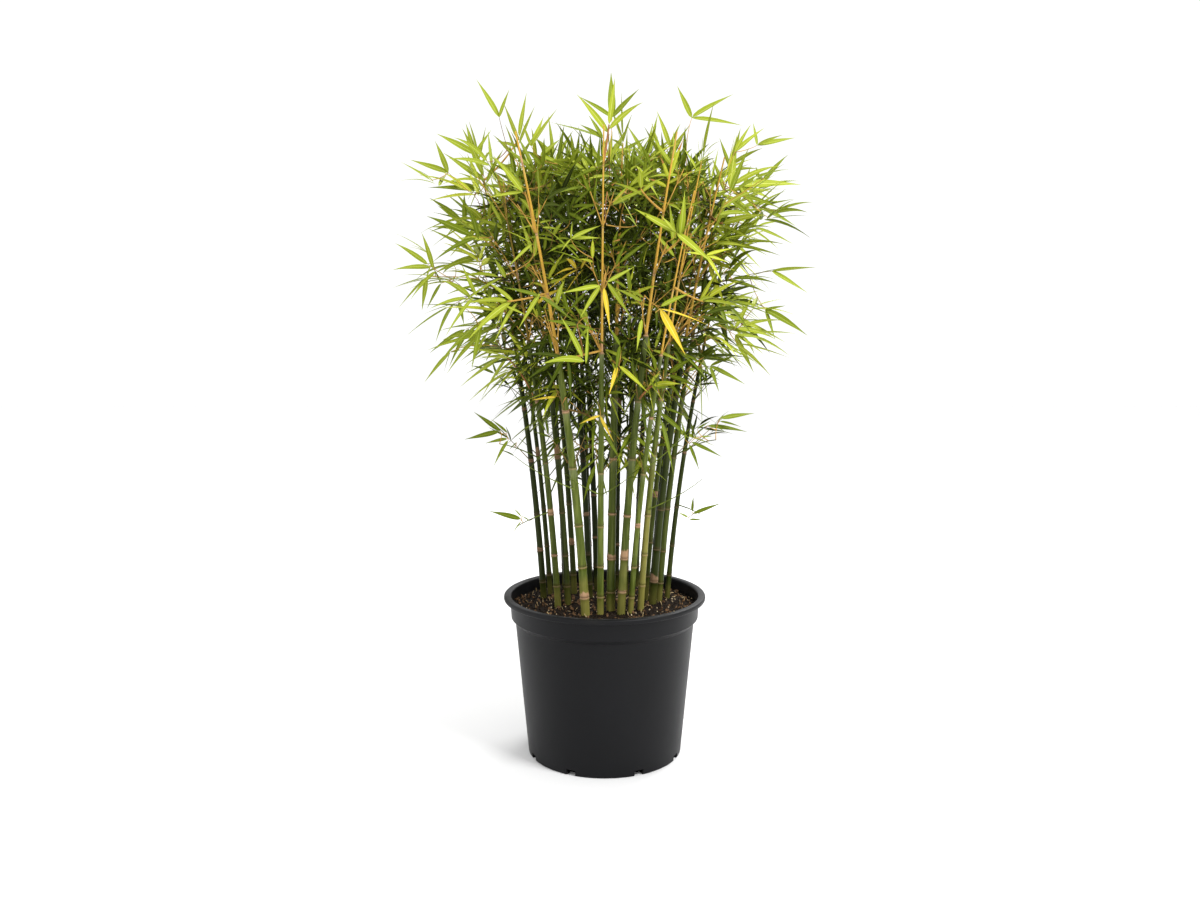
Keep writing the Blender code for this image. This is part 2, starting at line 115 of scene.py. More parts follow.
camera = bpy.data.cameras.new("camera")
camera.lens = CAMERA_LENS
camera.sensor_width = SENSOR_WIDTH
viewer = add_object("camera", camera)
viewer.location = CAMERA_PLACE
viewer.rotation_euler = (math.radians(90 - CAMERA_PITCH), 0, 0)
bpy.context.scene.camera = viewer
print("the camera looks down by", CAMERA_PITCH, "degrees")

# %% [markdown]
# ## A small language for nodes
# Shaders and Geometry Nodes are both trees of nodes. Wiring them by hand hides the sums they do. Here
# a Wire stands for one output socket, and plus, minus and times on wires add the Math nodes. One
# method, node, makes any other node from its type, its settings and its inputs.


# %% Wires and trees
class Wire:
    """One output socket of a tree, on which sums and products are written as expressions."""

    def __init__(self, tree, socket):
        self.tree = tree
        self.socket = socket

    def math(self, operation, *others):
        return self.tree.node("ShaderNodeMath", {"operation": operation}, (self, *others))

    def __add__(self, other):
        return self.math("ADD", other)

    def __mul__(self, other):
        return self.math("MULTIPLY", other)

    def __sub__(self, other):
        return self.math("SUBTRACT", other)

    def __truediv__(self, other):
        return self.math("DIVIDE", other)

    def __pow__(self, other):
        return self.math("POWER", other)

    def __rsub__(self, other):
        return self.tree.node("ShaderNodeMath", {"operation": "SUBTRACT"}, (other, self))

    def __abs__(self):
        return self.math("ABSOLUTE")

    __radd__ = __add__
    __rmul__ = __mul__


class Tree:
    """A node tree written as code."""

    def __init__(self, group):
        self.group = group

    def find(self, sockets, key):
        if isinstance(key, int):
            return sockets[key]
        named = [s for s in sockets if s.enabled and key in (s.identifier, s.name)]
        return named[0]

    def feed(self, socket, value):
        """Puts a wire or a plain value into a socket."""
        if isinstance(value, Wire):
            self.group.links.new(value.socket, socket)
        else:
            socket.default_value = value

    def node(self, kind, settings=None, inputs=(), output=0):
        """A node of this kind with its settings and inputs; one of its outputs as a wire."""
        made = self.group.nodes.new(kind)
        for name, value in (settings or {}).items():
            setattr(made, name, value)
        pairs = inputs.items() if isinstance(inputs, dict) else enumerate(inputs)
        for key, value in pairs:
            self.feed(self.find(made.inputs, key), value)
        return Wire(self, self.find(made.outputs, output))

    def vector(self, operation, *inputs, output=0):
        return self.node("ShaderNodeVectorMath", {"operation": operation}, inputs, output)

    def length(self, vector):
        return self.vector("LENGTH", vector, output="Value")

    def part(self, vector, axis):
        """One coordinate of a vector."""
        return self.node("ShaderNodeSeparateXYZ", None, {"Vector": vector}, axis)

    def scaled(self, vector, factor):
        return self.node(
            "ShaderNodeVectorMath", {"operation": "SCALE"}, {"Vector": vector, "Scale": factor}
        )

    def blend(self, factor, first, second):
        """Two colours mixed."""
        first = first if isinstance(first, Wire) else (*first, 1)
        second = second if isinstance(second, Wire) else (*second, 1)
        inputs = {"Factor_Float": factor, "A_Color": first, "B_Color": second}
        return self.node("ShaderNodeMix", {"data_type": "RGBA"}, inputs, "Result_Color")

    def ramp(self, value, low, high, start=0.0, end=1.0):
        """start below low, end above high, and a smooth change between."""
        inputs = {"Value": value, 1: low, 2: high, 3: start, 4: end}
        return self.node("ShaderNodeMapRange", {"interpolation_type": "SMOOTHSTEP"}, inputs)

    def noise(self, vector, scale, detail=2.0):
        inputs = {"Vector": vector, "Scale": scale, "Detail": detail}
        return self.node("ShaderNodeTexNoise", None, inputs, "Fac")


# %% [markdown]
# ## Finishes and growers
# A finish is a material whose Principled shader gets its colour, roughness and bump from a tree. A
# grower is a Geometry Nodes tree with named inputs, run once on a carrier mesh. What it makes is kept
# as a plain mesh, because an export drops instances and live modifiers can slide a pattern.


# %% Finish and Grower
class Finish(Tree):
    """A material with its Principled shader."""

    def __init__(self, name, roughness=0.5, colour=(0.8, 0.8, 0.8)):
        self.material = bpy.data.materials.new(name)
        self.material.use_nodes = True
        super().__init__(self.material.node_tree)
        self.shader = self.group.nodes["Principled BSDF"]
        self.set("Roughness", roughness)
        self.set("Base Color", (*colour, 1))

    def set(self, name, value):
        self.feed(self.shader.inputs[name], value)

    def place(self):
        return self.node("ShaderNodeTexCoord", output="Object")

    def attribute(self, name):
        return self.node("ShaderNodeAttribute", {"attribute_name": name}, output="Fac")

    def bump(self, height, depth):
        inputs = {"Height": height, "Distance": depth}
        self.set("Normal", self.node("ShaderNodeBump", None, inputs))


class Grower(Tree):
    """A Geometry Nodes tree with named inputs."""

    def __init__(self, name):
        super().__init__(bpy.data.node_groups.new(name, "GeometryNodeTree"))
        self.group.interface.new_socket("Mesh", in_out="OUTPUT", socket_type="NodeSocketGeometry")
        self.entry = self.group.nodes.new("NodeGroupInput")
        self.exit = self.group.nodes.new("NodeGroupOutput")
        self.identifiers = {}

    def take(self, label, kind, default=None):
        socket = self.group.interface.new_socket(
            label, in_out="INPUT", socket_type="NodeSocket" + kind
        )
        if default is not None:
            socket.default_value = default
        self.identifiers[label] = socket.identifier
        return Wire(self, self.entry.outputs[label])

    def named(self, name, kind="FLOAT"):
        settings = {"data_type": kind}
        return self.node("GeometryNodeInputNamedAttribute", settings, {"Name": name}, "Attribute")

    def store(self, geometry, name, value):
        inputs = {"Geometry": geometry, "Name": name, "Value": value}
        return self.node("GeometryNodeStoreNamedAttribute", {"data_type": "FLOAT"}, inputs)

    def paint(self, geometry, material, selection=True):
        inputs = {"Geometry": geometry, "Selection": selection, "Material": material}
        return self.node("GeometryNodeSetMaterial", None, inputs)

    def end(self, geometry):
        smooth = self.node("GeometryNodeSetShadeSmooth", None, {"Geometry": geometry})
        self.group.links.new(smooth.socket, self.exit.inputs["Mesh"])

    def grow(self, name, carrier, **settings):
        """Runs the tree on a carrier mesh and returns a new object with what it made."""
        obj = add_object(name, carrier)
        modifier = obj.modifiers.new(name, "NODES")
        modifier.node_group = self.group
        for label, value in settings.items():
            modifier[self.identifiers[label.replace("_", " ")]] = value
        graph = bpy.context.evaluated_depsgraph_get()
        made = bpy.data.meshes.new_from_object(
            obj.evaluated_get(graph), preserve_all_data_layers=True, depsgraph=graph
        )
        obj.modifiers.remove(modifier)
        obj.data = made
        made.name = name
        return obj


# %% [markdown]
# ## The floor and the light
# In a studio the plant stands on white paper under soft light from all round, with one lamp in front
# on the right and a weaker one behind. A lamp's size decides how soft its shadow is, so all three are
# large. The paper is white far off and a shade darker near the pot, where the lamps are strongest, so
# that it stays white in the light and still takes a soft shadow.


# %% Floor, sky and lamps
FLOOR_SIZE = 12.0
# the paper's grey up to the first distance from the pot, and from the second one on
PAPER_FADE = (0.4, 1.6)
PAPER_TONES = (0.78, 0.92)
SKY_STRENGTH = 1.08
# name, place, aimed at this height, size, power in watts
LAMPS = (
    ("key", (1.50, -1.35, 2.20), 0.55, 0.9, 60),
    ("fill", (-1.9, -0.9, 1.1), 0.40, 1.6, 8),
    ("back", (1.0, 1.7, 2.1), 0.55, 1.3, 40),
)


def floor_finish():
    finish = Finish("white_paper", 0.9)
    away = finish.length(finish.place())
    finish.set("Base Color", finish.ramp(away, *PAPER_FADE, *PAPER_TONES))
    finish.set("Specular IOR Level", 0.1)
    return finish.material


floor_form = bmesh.new()
bmesh.ops.create_grid(floor_form, x_segments=1, y_segments=1, size=FLOOR_SIZE / 2)
floor = new_piece("floor", kept_mesh(floor_form, "floor"), floor_finish())

sky = bpy.data.worlds.new("white_sky")
sky.use_nodes = True
background = sky.node_tree.nodes["Background"]
background.inputs["Color"].default_value = (1, 1, 1, 1)
background.inputs["Strength"].default_value = SKY_STRENGTH
bpy.context.scene.world = sky
bpy.context.scene.view_settings.view_transform = "Standard"

for name, place, target_height, size, power in LAMPS:
    lamp = bpy.data.lights.new(name, "AREA")
    lamp.size = size
    lamp.energy = power
    holder = add_object(name, lamp)
    holder.location = place
    aim = Vector((0, 0, target_height)) - Vector(place)
    holder.rotation_euler = aim.to_track_quat("-Z", "Y").to_euler()
print(len(LAMPS), "lamps and a white sky")

# %% [markdown]
# ## The pot
# A ten litre nursery pot is moulded in black polypropylene. Its wall tapers so that pots stack, a
# shoulder and a collar stiffen it, and a rolled rim gives it a grip. A turned profile makes it in one
# go: draw half of the section, spin it about the axis, and cut the drain holes with blocks. The
# corners are small arcs here, so that each edge catches its own thin line of light.

# %% Pot sizes
POT_STEPS = 144
BASE_RADIUS = 0.1080
WALL_TOP_RADIUS = 0.1250
WALL_TOP = 0.187
COLLAR_FOOT_RADIUS = 0.1308
COLLAR_FOOT = 0.194
COLLAR_RADIUS = 0.1322
RIM_FOOT = 0.219
RIM_INNER_RADIUS = 0.1305
WALL = 0.0024
BASE_THICKNESS = 0.003
LIP = 0.0030
LIP_DEPTH = 0.004
LIP_FOOT_INSET = 0.0024
CORNER = 0.0012
WIDE_CORNER = 0.0022
SHOULDER_LIFT = 0.001
RIDGE_INSET = 0.0005
RIDGE_DROP = 0.006
BASE_INSET = 0.0020
FOOT_SHARE = 0.86
DRAIN_ANGLES = (25, 65, 115, 155)
DRAIN_SIZE = (0.013, 0.024, 0.016)
SHARP_ANGLE = 32


def arc(centre, radius, start, end, steps=5):
    """Points (distance from the axis, height) on a round corner, by angle in degrees."""
    angles = [math.radians(start + (end - start) * n / steps) for n in range(steps + 1)]
    return [(centre[0] + radius * math.cos(a), centre[1] + radius * math.sin(a)) for a in angles]


def pot_section():
    """Half of the pot's section: up the inside, over the rolled rim and down the outside."""
    return [
        (0, BASE_THICKNESS),
        (BASE_RADIUS - WALL - CORNER, BASE_THICKNESS),
        (BASE_RADIUS - WALL, BASE_THICKNESS + CORNER),
        (WALL_TOP_RADIUS - WALL, WALL_TOP),
        (COLLAR_FOOT_RADIUS - WALL, COLLAR_FOOT),
        (RIM_INNER_RADIUS, pot_height - LIP_DEPTH),
        *arc((RIM_INNER_RADIUS + LIP, pot_height - LIP), LIP, 180, 90),
        *arc((rim_radius - LIP, pot_height - LIP), LIP, 90, 0),
        *arc((rim_radius - LIP_FOOT_INSET, RIM_FOOT + WIDE_CORNER), WIDE_CORNER, 0, -90, 4),
        *arc((COLLAR_RADIUS + CORNER, RIM_FOOT - CORNER), CORNER, 90, 180, 3),
        *arc((COLLAR_FOOT_RADIUS - CORNER, COLLAR_FOOT + CORNER), CORNER, 0, -60, 3),
        *arc((WALL_TOP_RADIUS + CORNER, WALL_TOP + SHOULDER_LIFT), CORNER, 120, 180, 3),
        (WALL_TOP_RADIUS - RIDGE_INSET, WALL_TOP - RIDGE_DROP),
        *arc((BASE_RADIUS - BASE_INSET, WIDE_CORNER), WIDE_CORNER, 5, -90, 4),
        (BASE_RADIUS * FOOT_SHARE, 0),
        (0, 0),
    ]


# %% Turn the pot and cut its drain holes
SAME_POINT = 0.00001


def turned_mesh(name, section, steps):
    """A closed mesh turned about Z from a section that runs from the axis to the axis."""
    form = bmesh.new()
    points = [form.verts.new((radius, 0, height)) for radius, height in section]
    edges = [form.edges.new(pair) for pair in zip(points, points[1:])]
    bmesh.ops.spin(
        form, geom=points + edges, axis=(0, 0, 1), cent=(0, 0, 0),
        angle=math.tau, steps=steps, use_merge=True,
    )
    bmesh.ops.remove_doubles(form, verts=form.verts, dist=SAME_POINT)
    bmesh.ops.recalc_face_normals(form, faces=form.faces)
    return kept_mesh(form, name)


def drain_blocks():
    """Blocks through the wall's foot, the same on both sides."""
    form = bmesh.new()
    size = Matrix.Diagonal((*DRAIN_SIZE, 1))
    out = Matrix.Translation((0, -BASE_RADIUS, 0))
    for angle in DRAIN_ANGLES + tuple(-a for a in DRAIN_ANGLES):
        turn = Matrix.Rotation(math.radians(angle), 4, "Z")
        bmesh.ops.create_cube(form, size=1, matrix=turn @ out @ size)
    return kept_mesh(form, "drain_blocks")


def cut_drains(pot):
    cutter = add_object("drain_blocks", drain_blocks())
    cut = pot.modifiers.new("drains", "BOOLEAN")
    cut.operation = "DIFFERENCE"
    cut.object = cutter
    graph = bpy.context.evaluated_depsgraph_get()
    mesh = bpy.data.meshes.new_from_object(pot.evaluated_get(graph), depsgraph=graph)
    pot.modifiers.remove(cut)
    pot.data = mesh
    bpy.data.objects.remove(cutter, do_unlink=True)


# %% [markdown]
# ### Moulded plastic
# New polypropylene is satin black. The mould leaves a fine grain that breaks up reflections, handling
# leaves faint dull patches, and a little potting dust settles where the wall meets the rim. Two noises
# on the object's own coordinates give the grain and the patches, and they change roughness far more
# than colour.


# %% Pot finish
PLASTIC = ((0.0030, 0.0031, 0.0037), (0.0052, 0.0054, 0.0066))
DUST = (0.05, 0.045, 0.035)
DUST_DEPTH = 0.012
PLASTIC_GRAIN = 0.00012


def plastic_finish():
    finish = Finish("black_plastic")
    place = finish.place()
    patches = finish.noise(place, 14.0, 4.0)
    grain = finish.noise(place, 1400.0, 1.0)
    drawn = finish.noise(finish.vector("MULTIPLY", place, (60.0, 60.0, 3.0)), 1.0, 3.0)
    near_rim = finish.ramp(finish.part(place, "Z"), pot_height - DUST_DEPTH, pot_height)
    dust = near_rim * finish.ramp(patches, 0.45, 0.7)
    finish.set("Base Color", finish.blend(dust * 0.2, finish.blend(patches, *PLASTIC), DUST))
    finish.set("Roughness", 0.34 + patches * 0.14 + drawn * 0.06 + dust * 0.2)
    finish.set("Specular IOR Level", 0.15)
    finish.bump(grain * 0.5 + drawn * 0.5, PLASTIC_GRAIN)
    return finish.material


black_plastic = plastic_finish()
pot = new_piece("pot_moulded", turned_mesh("pot_moulded", pot_section(), POT_STEPS), black_plastic)
cut_drains(pot)
for face in pot.data.polygons:
    face.use_smooth = True
pot.data.set_sharp_from_angle(angle=math.radians(SHARP_ANGLE))
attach(pot, "root")
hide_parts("pot")
print("pot:", triangles(pot), "triangles,", round(rim_radius * 2000), "mm across the rim")

# %% [markdown]
# ## The potting mix
# Potting mix is peat and composted bark: a crumbly dark bed with chips, a few pale bits and some straw.
# The bed is one mesh whose heights come from a few sine waves and seeded jitter, raised a little in the
# middle where the root ball sits. Geometry Nodes strew crumbs on it: points on its faces, a pebble
# of twenty faces on each, turned and stretched by chance, then pulled out of shape by a noise. Near
# the pot's wall the pieces are kept small enough to stay inside it.

# %% The bed
BED_RINGS = 34
BED_SPOKES = 96
BED_RISE = 0.0040
BED_ROUGH = 0.0016
BED_MARGIN = 0.0012
BED_SKIRT = 0.012
BED_GRAIN = 0.0016
BED_SEED = 3
PEAT = ((0.0016, 0.0010, 0.0007), (0.018, 0.011, 0.006))
FLECKS = (0.16, 0.10, 0.055)
bed_radius = (soil_high.x - soil_low.x) / 2 + BED_MARGIN


def bed_height(x, y, rng):
    """Crossing waves with a finer slanting one, a rise in the middle and a little chance."""
    away = math.hypot(x, y) / RIM_INNER_RADIUS
    waves = math.sin(90 * x + 1.3) * math.sin(75 * y - 0.7) + 0.6 * math.sin(170 * x - 130 * y)
    rise = BED_RISE * (1 - away**2)
    level = soil_top - BED_ROUGH + rise + BED_ROUGH * 0.5 * waves
    return level + rng.uniform(-1, 1) * BED_ROUGH / 2


def bed_mesh():
    """Rings of points about the middle, closed below by a short skirt inside the pot."""
    rng = random.Random(BED_SEED)
    form = bmesh.new()
    middle = form.verts.new((0, 0, bed_height(0, 0, rng)))
    rings = []
    for ring in range(1, BED_RINGS + 1):
        radius = bed_radius * ring / BED_RINGS
        points = []
        for spoke in range(BED_SPOKES):
            angle = math.tau * spoke / BED_SPOKES
            x, y = radius * math.cos(angle), radius * math.sin(angle)
            points.append(form.verts.new((x, y, bed_height(x, y, rng))))
        rings.append(points)
    for n in range(BED_SPOKES):
        following = (n + 1) % BED_SPOKES
        form.faces.new((middle, rings[0][n], rings[0][following]))
        for low, high in zip(rings, rings[1:]):
            form.faces.new((low[n], high[n], high[following], low[following]))
    foot = [form.verts.new((p.co.x, p.co.y, soil_top - BED_SKIRT)) for p in rings[-1]]
    for n in range(BED_SPOKES):
        following = (n + 1) % BED_SPOKES
        form.faces.new((rings[-1][n], foot[n], foot[following], rings[-1][following]))
    form.faces.new(list(reversed(foot)))
    return kept_mesh(form, "potting_bed")


def bed_finish():
    finish = Finish("potting_bed", 0.95)
    place = finish.place()
    coarse = finish.noise(place, 160.0, 4.0)
    fine = finish.noise(place, 700.0, 3.0)
    pale = finish.ramp(fine, 0.62, 0.72)
    finish.set("Base Color", finish.blend(pale * 0.5, finish.blend(coarse, *PEAT), FLECKS))
    finish.set("Roughness", 0.82 + fine * 0.15)
    finish.set("Specular IOR Level", 0.1)
    finish.bump(coarse + fine * 0.6, BED_GRAIN)
    return finish.material


bed = new_piece("potting_bed", bed_mesh(), bed_finish())
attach(bed, "root")
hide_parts("soil")
print("bed:", triangles(bed), "triangles")


# %% Crumbs, chips and straw strewn by Geometry Nodes
FACING_UP = 0.5
TURNS = (6.3, 6.3, 6.3)
SIZE_SEED = 9
DENT_SCALE = 420.0
CRUMB_GRAIN = 0.0005
CRUMB_MARGIN = 0.0010
FIRST_SEED = 5


def crumb_grower():
    tree = Grower("strewn_crumbs")
    bed_in = tree.take("Bed", "Geometry")
    density = tree.take("Pieces to a square metre", "Float", 30000.0)
    seed = tree.take("Seed", "Int", 1)
    small = tree.take("Smallest", "Float", 0.001)
    large = tree.take("Largest", "Float", 0.003)
    shape = tree.take("Shape", "Vector", (1.0, 0.8, 0.6))
    wear = tree.take("Wear", "Float", 0.4)
    cover = tree.take("Material", "Material")
    edge = tree.take("Edge radius", "Float", 0.1)
    longest = tree.take("Longest side", "Float", 1.5)
    facing = tree.part(tree.node("GeometryNodeInputNormal", output="Normal"), "Z")
    spots = tree.node(
        "GeometryNodeDistributePointsOnFaces", None,
        {"Mesh": bed_in, "Density": density, "Seed": seed,
         "Selection": facing.math("GREATER_THAN", FACING_UP)},
    )
    pebble = tree.node("GeometryNodeMeshIcoSphere", None, {"Radius": 1.0, "Subdivisions": 1})
    turn = tree.node(
        "FunctionNodeRandomValue", {"data_type": "FLOAT_VECTOR"},
        {"Min": (0.0, 0.0, 0.0), "Max": TURNS, "Seed": seed},
    )
    chance = tree.node(
        "FunctionNodeRandomValue", {"data_type": "FLOAT"},
        {"Min": 0.0, "Max": 1.0, "Seed": SIZE_SEED},
    )
    here = tree.node("GeometryNodeInputPosition")
    room = edge - tree.length(tree.vector("MULTIPLY", here, (1.0, 1.0, 0.0)))
    size = (small + (large - small) * chance ** 2.0).math("MINIMUM", room / longest)
    strewn = tree.node(
        "GeometryNodeInstanceOnPoints", None,
        {"Points": spots, "Instance": pebble,
         "Rotation": tree.node("FunctionNodeEulerToRotation", None, {"Euler": turn}),
         "Scale": tree.scaled(shape, size)},
    )
    real = tree.node("GeometryNodeRealizeInstances", None, {"Geometry": strewn})
    dents = tree.node(
        "ShaderNodeTexNoise", None, {"Vector": here, "Scale": DENT_SCALE, "Detail": 1.0}, "Color"
    )
    push = tree.scaled(tree.vector("SUBTRACT", dents, (0.5, 0.5, 0.5)), large * wear)
    bent = tree.node("GeometryNodeSetPosition", None, {"Geometry": real, "Offset": push})
    tree.end(tree.paint(bent, cover))
    return tree


def crumb_finish(name, dark, pale):
    finish = Finish(name, 0.9)
    grain = finish.noise(finish.place(), 380.0, 3.0)
    finish.set("Base Color", finish.blend(finish.ramp(grain, 0.35, 0.65), dark, pale))
    finish.set("Roughness", 0.78 + grain * 0.18)
    finish.set("Specular IOR Level", 0.12)
    finish.bump(grain, CRUMB_GRAIN)
    return finish.material


# name, pieces to a square metre, smallest, largest, shape, wear, dark colour, pale colour
CRUMBS = (
    ("peat_crumbs", 36000, 0.0009, 0.0036, (1, 0.85, 0.7), 0.45,
     (0.002, 0.0013, 0.0009), (0.020, 0.012, 0.006)),
    ("bark_chips", 6500, 0.0022, 0.0064, (1.5, 0.8, 0.35), 0.45,
     (0.022, 0.011, 0.005), (0.17, 0.095, 0.045)),
    ("pale_bits", 3000, 0.0012, 0.0036, (1.2, 0.7, 0.5), 0.45,
     (0.20, 0.14, 0.08), (0.55, 0.44, 0.29)),
    ("straw", 1500, 0.0030, 0.0090, (1.6, 0.12, 0.10), 0.25,
     (0.24, 0.16, 0.07), (0.60, 0.46, 0.25)),
)
crumbs = crumb_grower()
for number, (name, density, small, large, shape, wear, dark, pale) in enumerate(CRUMBS):
    strewn = crumbs.grow(
        name, bed.data.copy(), Pieces_to_a_square_metre=float(density), Seed=number + FIRST_SEED,
        Smallest=small, Largest=large, Shape=shape, Longest_side=float(shape[0]), Wear=wear,
        Edge_radius=bed_radius + CRUMB_MARGIN, Material=crumb_finish(name, dark, pale),
    )
    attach(strewn, "root")
    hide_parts("soil")
    print(name, triangles(strewn), "triangles")

# %% [markdown]
# ## The canes
# A bamboo cane is a hollow stem in joints. At each joint the fallen sheath leaves a thin sharp scar,
# and a rounder swelling stands just above it. The joints lie closer together near the soil. A cane
# leans outwards more and more as it rises, and thins towards its tip. Each row below is one cane as in
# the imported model: where it stands, how thick it is, how far it leans and how tall it is.

# %% Cane sizes
GAP = 0.0003
SEED = 7
CANES = (
    (-0.087, 0.027, 0.0091, -0.086, 0.020, 0.610),
    (-0.079, 0.052, 0.0075, -0.072, 0.045, 0.545),
    (-0.065, -0.018, 0.0091, -0.072, -0.050, 0.580),
    (-0.051, -0.012, 0.0091, -0.064, -0.012, 0.600),
    (-0.044, 0.052, 0.0086, -0.060, 0.060, 0.590),
    (-0.026, -0.062, 0.0120, -0.082, -0.085, 0.620),
    (-0.021, 0.025, 0.0091, -0.048, 0.020, 0.610),
    (-0.011, 0.065, 0.0091, -0.034, 0.080, 0.575),
    (-0.006, -0.062, 0.0091, 0.004, -0.100, 0.625),
    (0.008, -0.046, 0.0120, 0.014, -0.045, 0.615),
    (0.017, 0.076, 0.0091, 0.016, 0.095, 0.590),
    (0.022, -0.058, 0.0110, 0.064, -0.085, 0.620),
    (0.030, 0.046, 0.0086, 0.030, 0.045, 0.615),
    (0.035, -0.052, 0.0080, 0.072, -0.100, 0.550),
    (0.049, -0.040, 0.0091, 0.070, -0.072, 0.590),
    (0.058, 0.014, 0.0080, 0.080, -0.010, 0.545),
    (0.067, -0.004, 0.0110, 0.088, -0.040, 0.605),
    (0.077, 0.012, 0.0091, 0.093, 0.010, 0.600),
    (0.090, 0.030, 0.0075, 0.100, 0.045, 0.560),
    (-0.058, 0.084, 0.0086, -0.048, 0.095, 0.575),
    (-0.022, 0.100, 0.0091, -0.030, 0.105, 0.605),
    (0.047, 0.098, 0.0091, 0.040, 0.100, 0.585),
    (0.070, 0.062, 0.0086, 0.085, 0.085, 0.590),
)
CANE_BEND = 0.42
CANE_TIP = 0.30
CANE_TAPER = 1.3
AXIS_STEP = 0.004
INTERNODE = 0.078
FIRST_INTERNODE = 0.44
FULL_INTERNODE_AT = 0.14
FOOT_STRAIGHT = 0.003
RIPE_ABOVE = 0.325
SLIMMER = 0.58


def unit(vector):
    return vector / np.linalg.norm(vector)


class Cane:
    """One cane: its path, its thickness and the heights of its joints above its foot."""

    def __init__(self, number, sizes):
        foot_x, foot_y, thickness, lean_x, lean_y, height = sizes
        self.number = number
        self.foot = np.array((foot_x, foot_y, soil_top + GAP))
        self.lean = np.array((lean_x, lean_y, 0.0))
        self.radius = thickness / 2
        self.height = height
        rng = random.Random(SEED + number)
        self.joints = []
        at = INTERNODE * FIRST_INTERNODE * rng.uniform(0.6, 1.1)
        while at < height - INTERNODE / 3:
            self.joints.append(at)
            low = min(1, FIRST_INTERNODE + (1 - FIRST_INTERNODE) * at / FULL_INTERNODE_AT)
            at += INTERNODE * low * rng.uniform(0.92, 1.08)
        self.ripe_from = next(joint for joint in self.joints if joint > RIPE_ABOVE)

    def at(self, up):
        share = max(0, up - FOOT_STRAIGHT) / (self.height - FOOT_STRAIGHT)
        bend = CANE_BEND * share + (1 - CANE_BEND) * share**2
        return self.foot + self.lean * bend + np.array((0, 0, up))

    def thick(self, up):
        share = max(0, up) / self.height
        return self.radius * (1 - (1 - CANE_TIP) * share**CANE_TAPER)

    def skin(self, up):
        """The thickness that shows: a cane is slimmer above its first joint with twigs."""
        return self.thick(up) * (SLIMMER if up > self.ripe_from else 1)

    def axis(self, up):
        return unit(self.at(up + AXIS_STEP) - self.at(up))


canes = [Cane(number, sizes) for number, sizes in enumerate(CANES, start=1)]

# %% [markdown]
# ### Relief along the culm
# The relief follows a rule along one line, so Geometry Nodes draw it: every cane is a chain of points
# that carry a thickness, and a circle is swept along them. Close to a joint the points lie a
# millimetre or two apart and trace the scar, the groove and the swelling. The points also
# carry what the finish needs: how near the scar is, how golden the cane is there, and a tint,
# which is darker for canes further back as painted shade.

# %% Stations along a cane
# offset from the joint and thickness there, as a share of the cane's own
JOINT_RELIEF = (
    (-0.0080, 1.000), (-0.0030, 1.015), (-0.0014, 1.130), (-0.0007, 1.150), (0.0000, 1.050),
    (0.0010, 1.040), (0.0024, 1.110), (0.0042, 1.060), (0.0080, 1.000),
)
SCAR_OFFSET = 0.0006
SCAR_REACH = 0.0016
BELOW_SOIL = 0.008
JOINT_BELOW_SOIL = -0.02
BURIED_ABOVE = 0.03
JOINT_ROOM = 0.009
PAST_TIP = 0.010
LOWEST_STATION = 0.001
FREE_STATIONS = 6
CANE_SIDES = 16


def cane_stations(cane):
    """(height above the foot, thickness, nearness of a scar, height above the last joint)."""
    stations = [(-BELOW_SOIL, cane.radius, 0.0, BURIED_ABOVE)]
    last = JOINT_BELOW_SOIL
    for joint in cane.joints + [cane.height + PAST_TIP]:
        low, high = last + JOINT_ROOM, joint - JOINT_ROOM
        for n in range(FREE_STATIONS):
            up = low + (high - low) * (n + 0.5) / FREE_STATIONS
            if LOWEST_STATION < up < cane.height:
                stations.append((up, cane.skin(up), 0.0, up - last))
        if joint > cane.height:
            break
        for offset, share in JOINT_RELIEF:
            up = joint + offset
            nearness = max(0.0, 1 - abs(offset + SCAR_OFFSET) / SCAR_REACH)
            above = offset if offset > 0 else up - last
            stations.append((up, cane.skin(up) * share, nearness, above))
        last = joint
    stations.append((cane.height, cane.skin(cane.height), 0.0, cane.height - last))
    return stations


# %% The sweep, shared by canes and twigs
def sweep_grower():
    """Chains of points in, stems out: a circle swept along each chain, as thick as its points say."""
    tree = Grower("swept_stems")
    paths = tree.take("Paths", "Geometry")
    sides = tree.take("Sides", "Int", 6)
    cover = tree.take("Material", "Material")
    curves = tree.node("GeometryNodeMeshToCurve", None, {"Mesh": paths})
    ring = tree.node("GeometryNodeCurvePrimitiveCircle", None, {"Resolution": sides, "Radius": 1.0})
    ring = tree.store(ring, "around", tree.node("GeometryNodeSplineParameter", output="Factor"))
    swept = tree.node(
        "GeometryNodeCurveToMesh", None,
        {"Curve": curves, "Profile Curve": ring, "Scale": tree.named("thickness"),
         "Fill Caps": True},
    )
    real = tree.node("GeometryNodeRealizeInstances", None, {"Geometry": swept})
    tree.end(tree.paint(real, cover))
    return tree


def path_mesh(name, paths, values):
    """A mesh of open chains, with named values for each of its points."""
    points, edges = [], []
    for path in paths:
        start = len(points)
        points.extend(path)
        edges.extend((n, n + 1) for n in range(start, len(points) - 1))
    mesh = point_mesh(name, points, edges)
    for key, found in values.items():
        add_values(mesh, key, found)
    return mesh


sweep = sweep_grower()
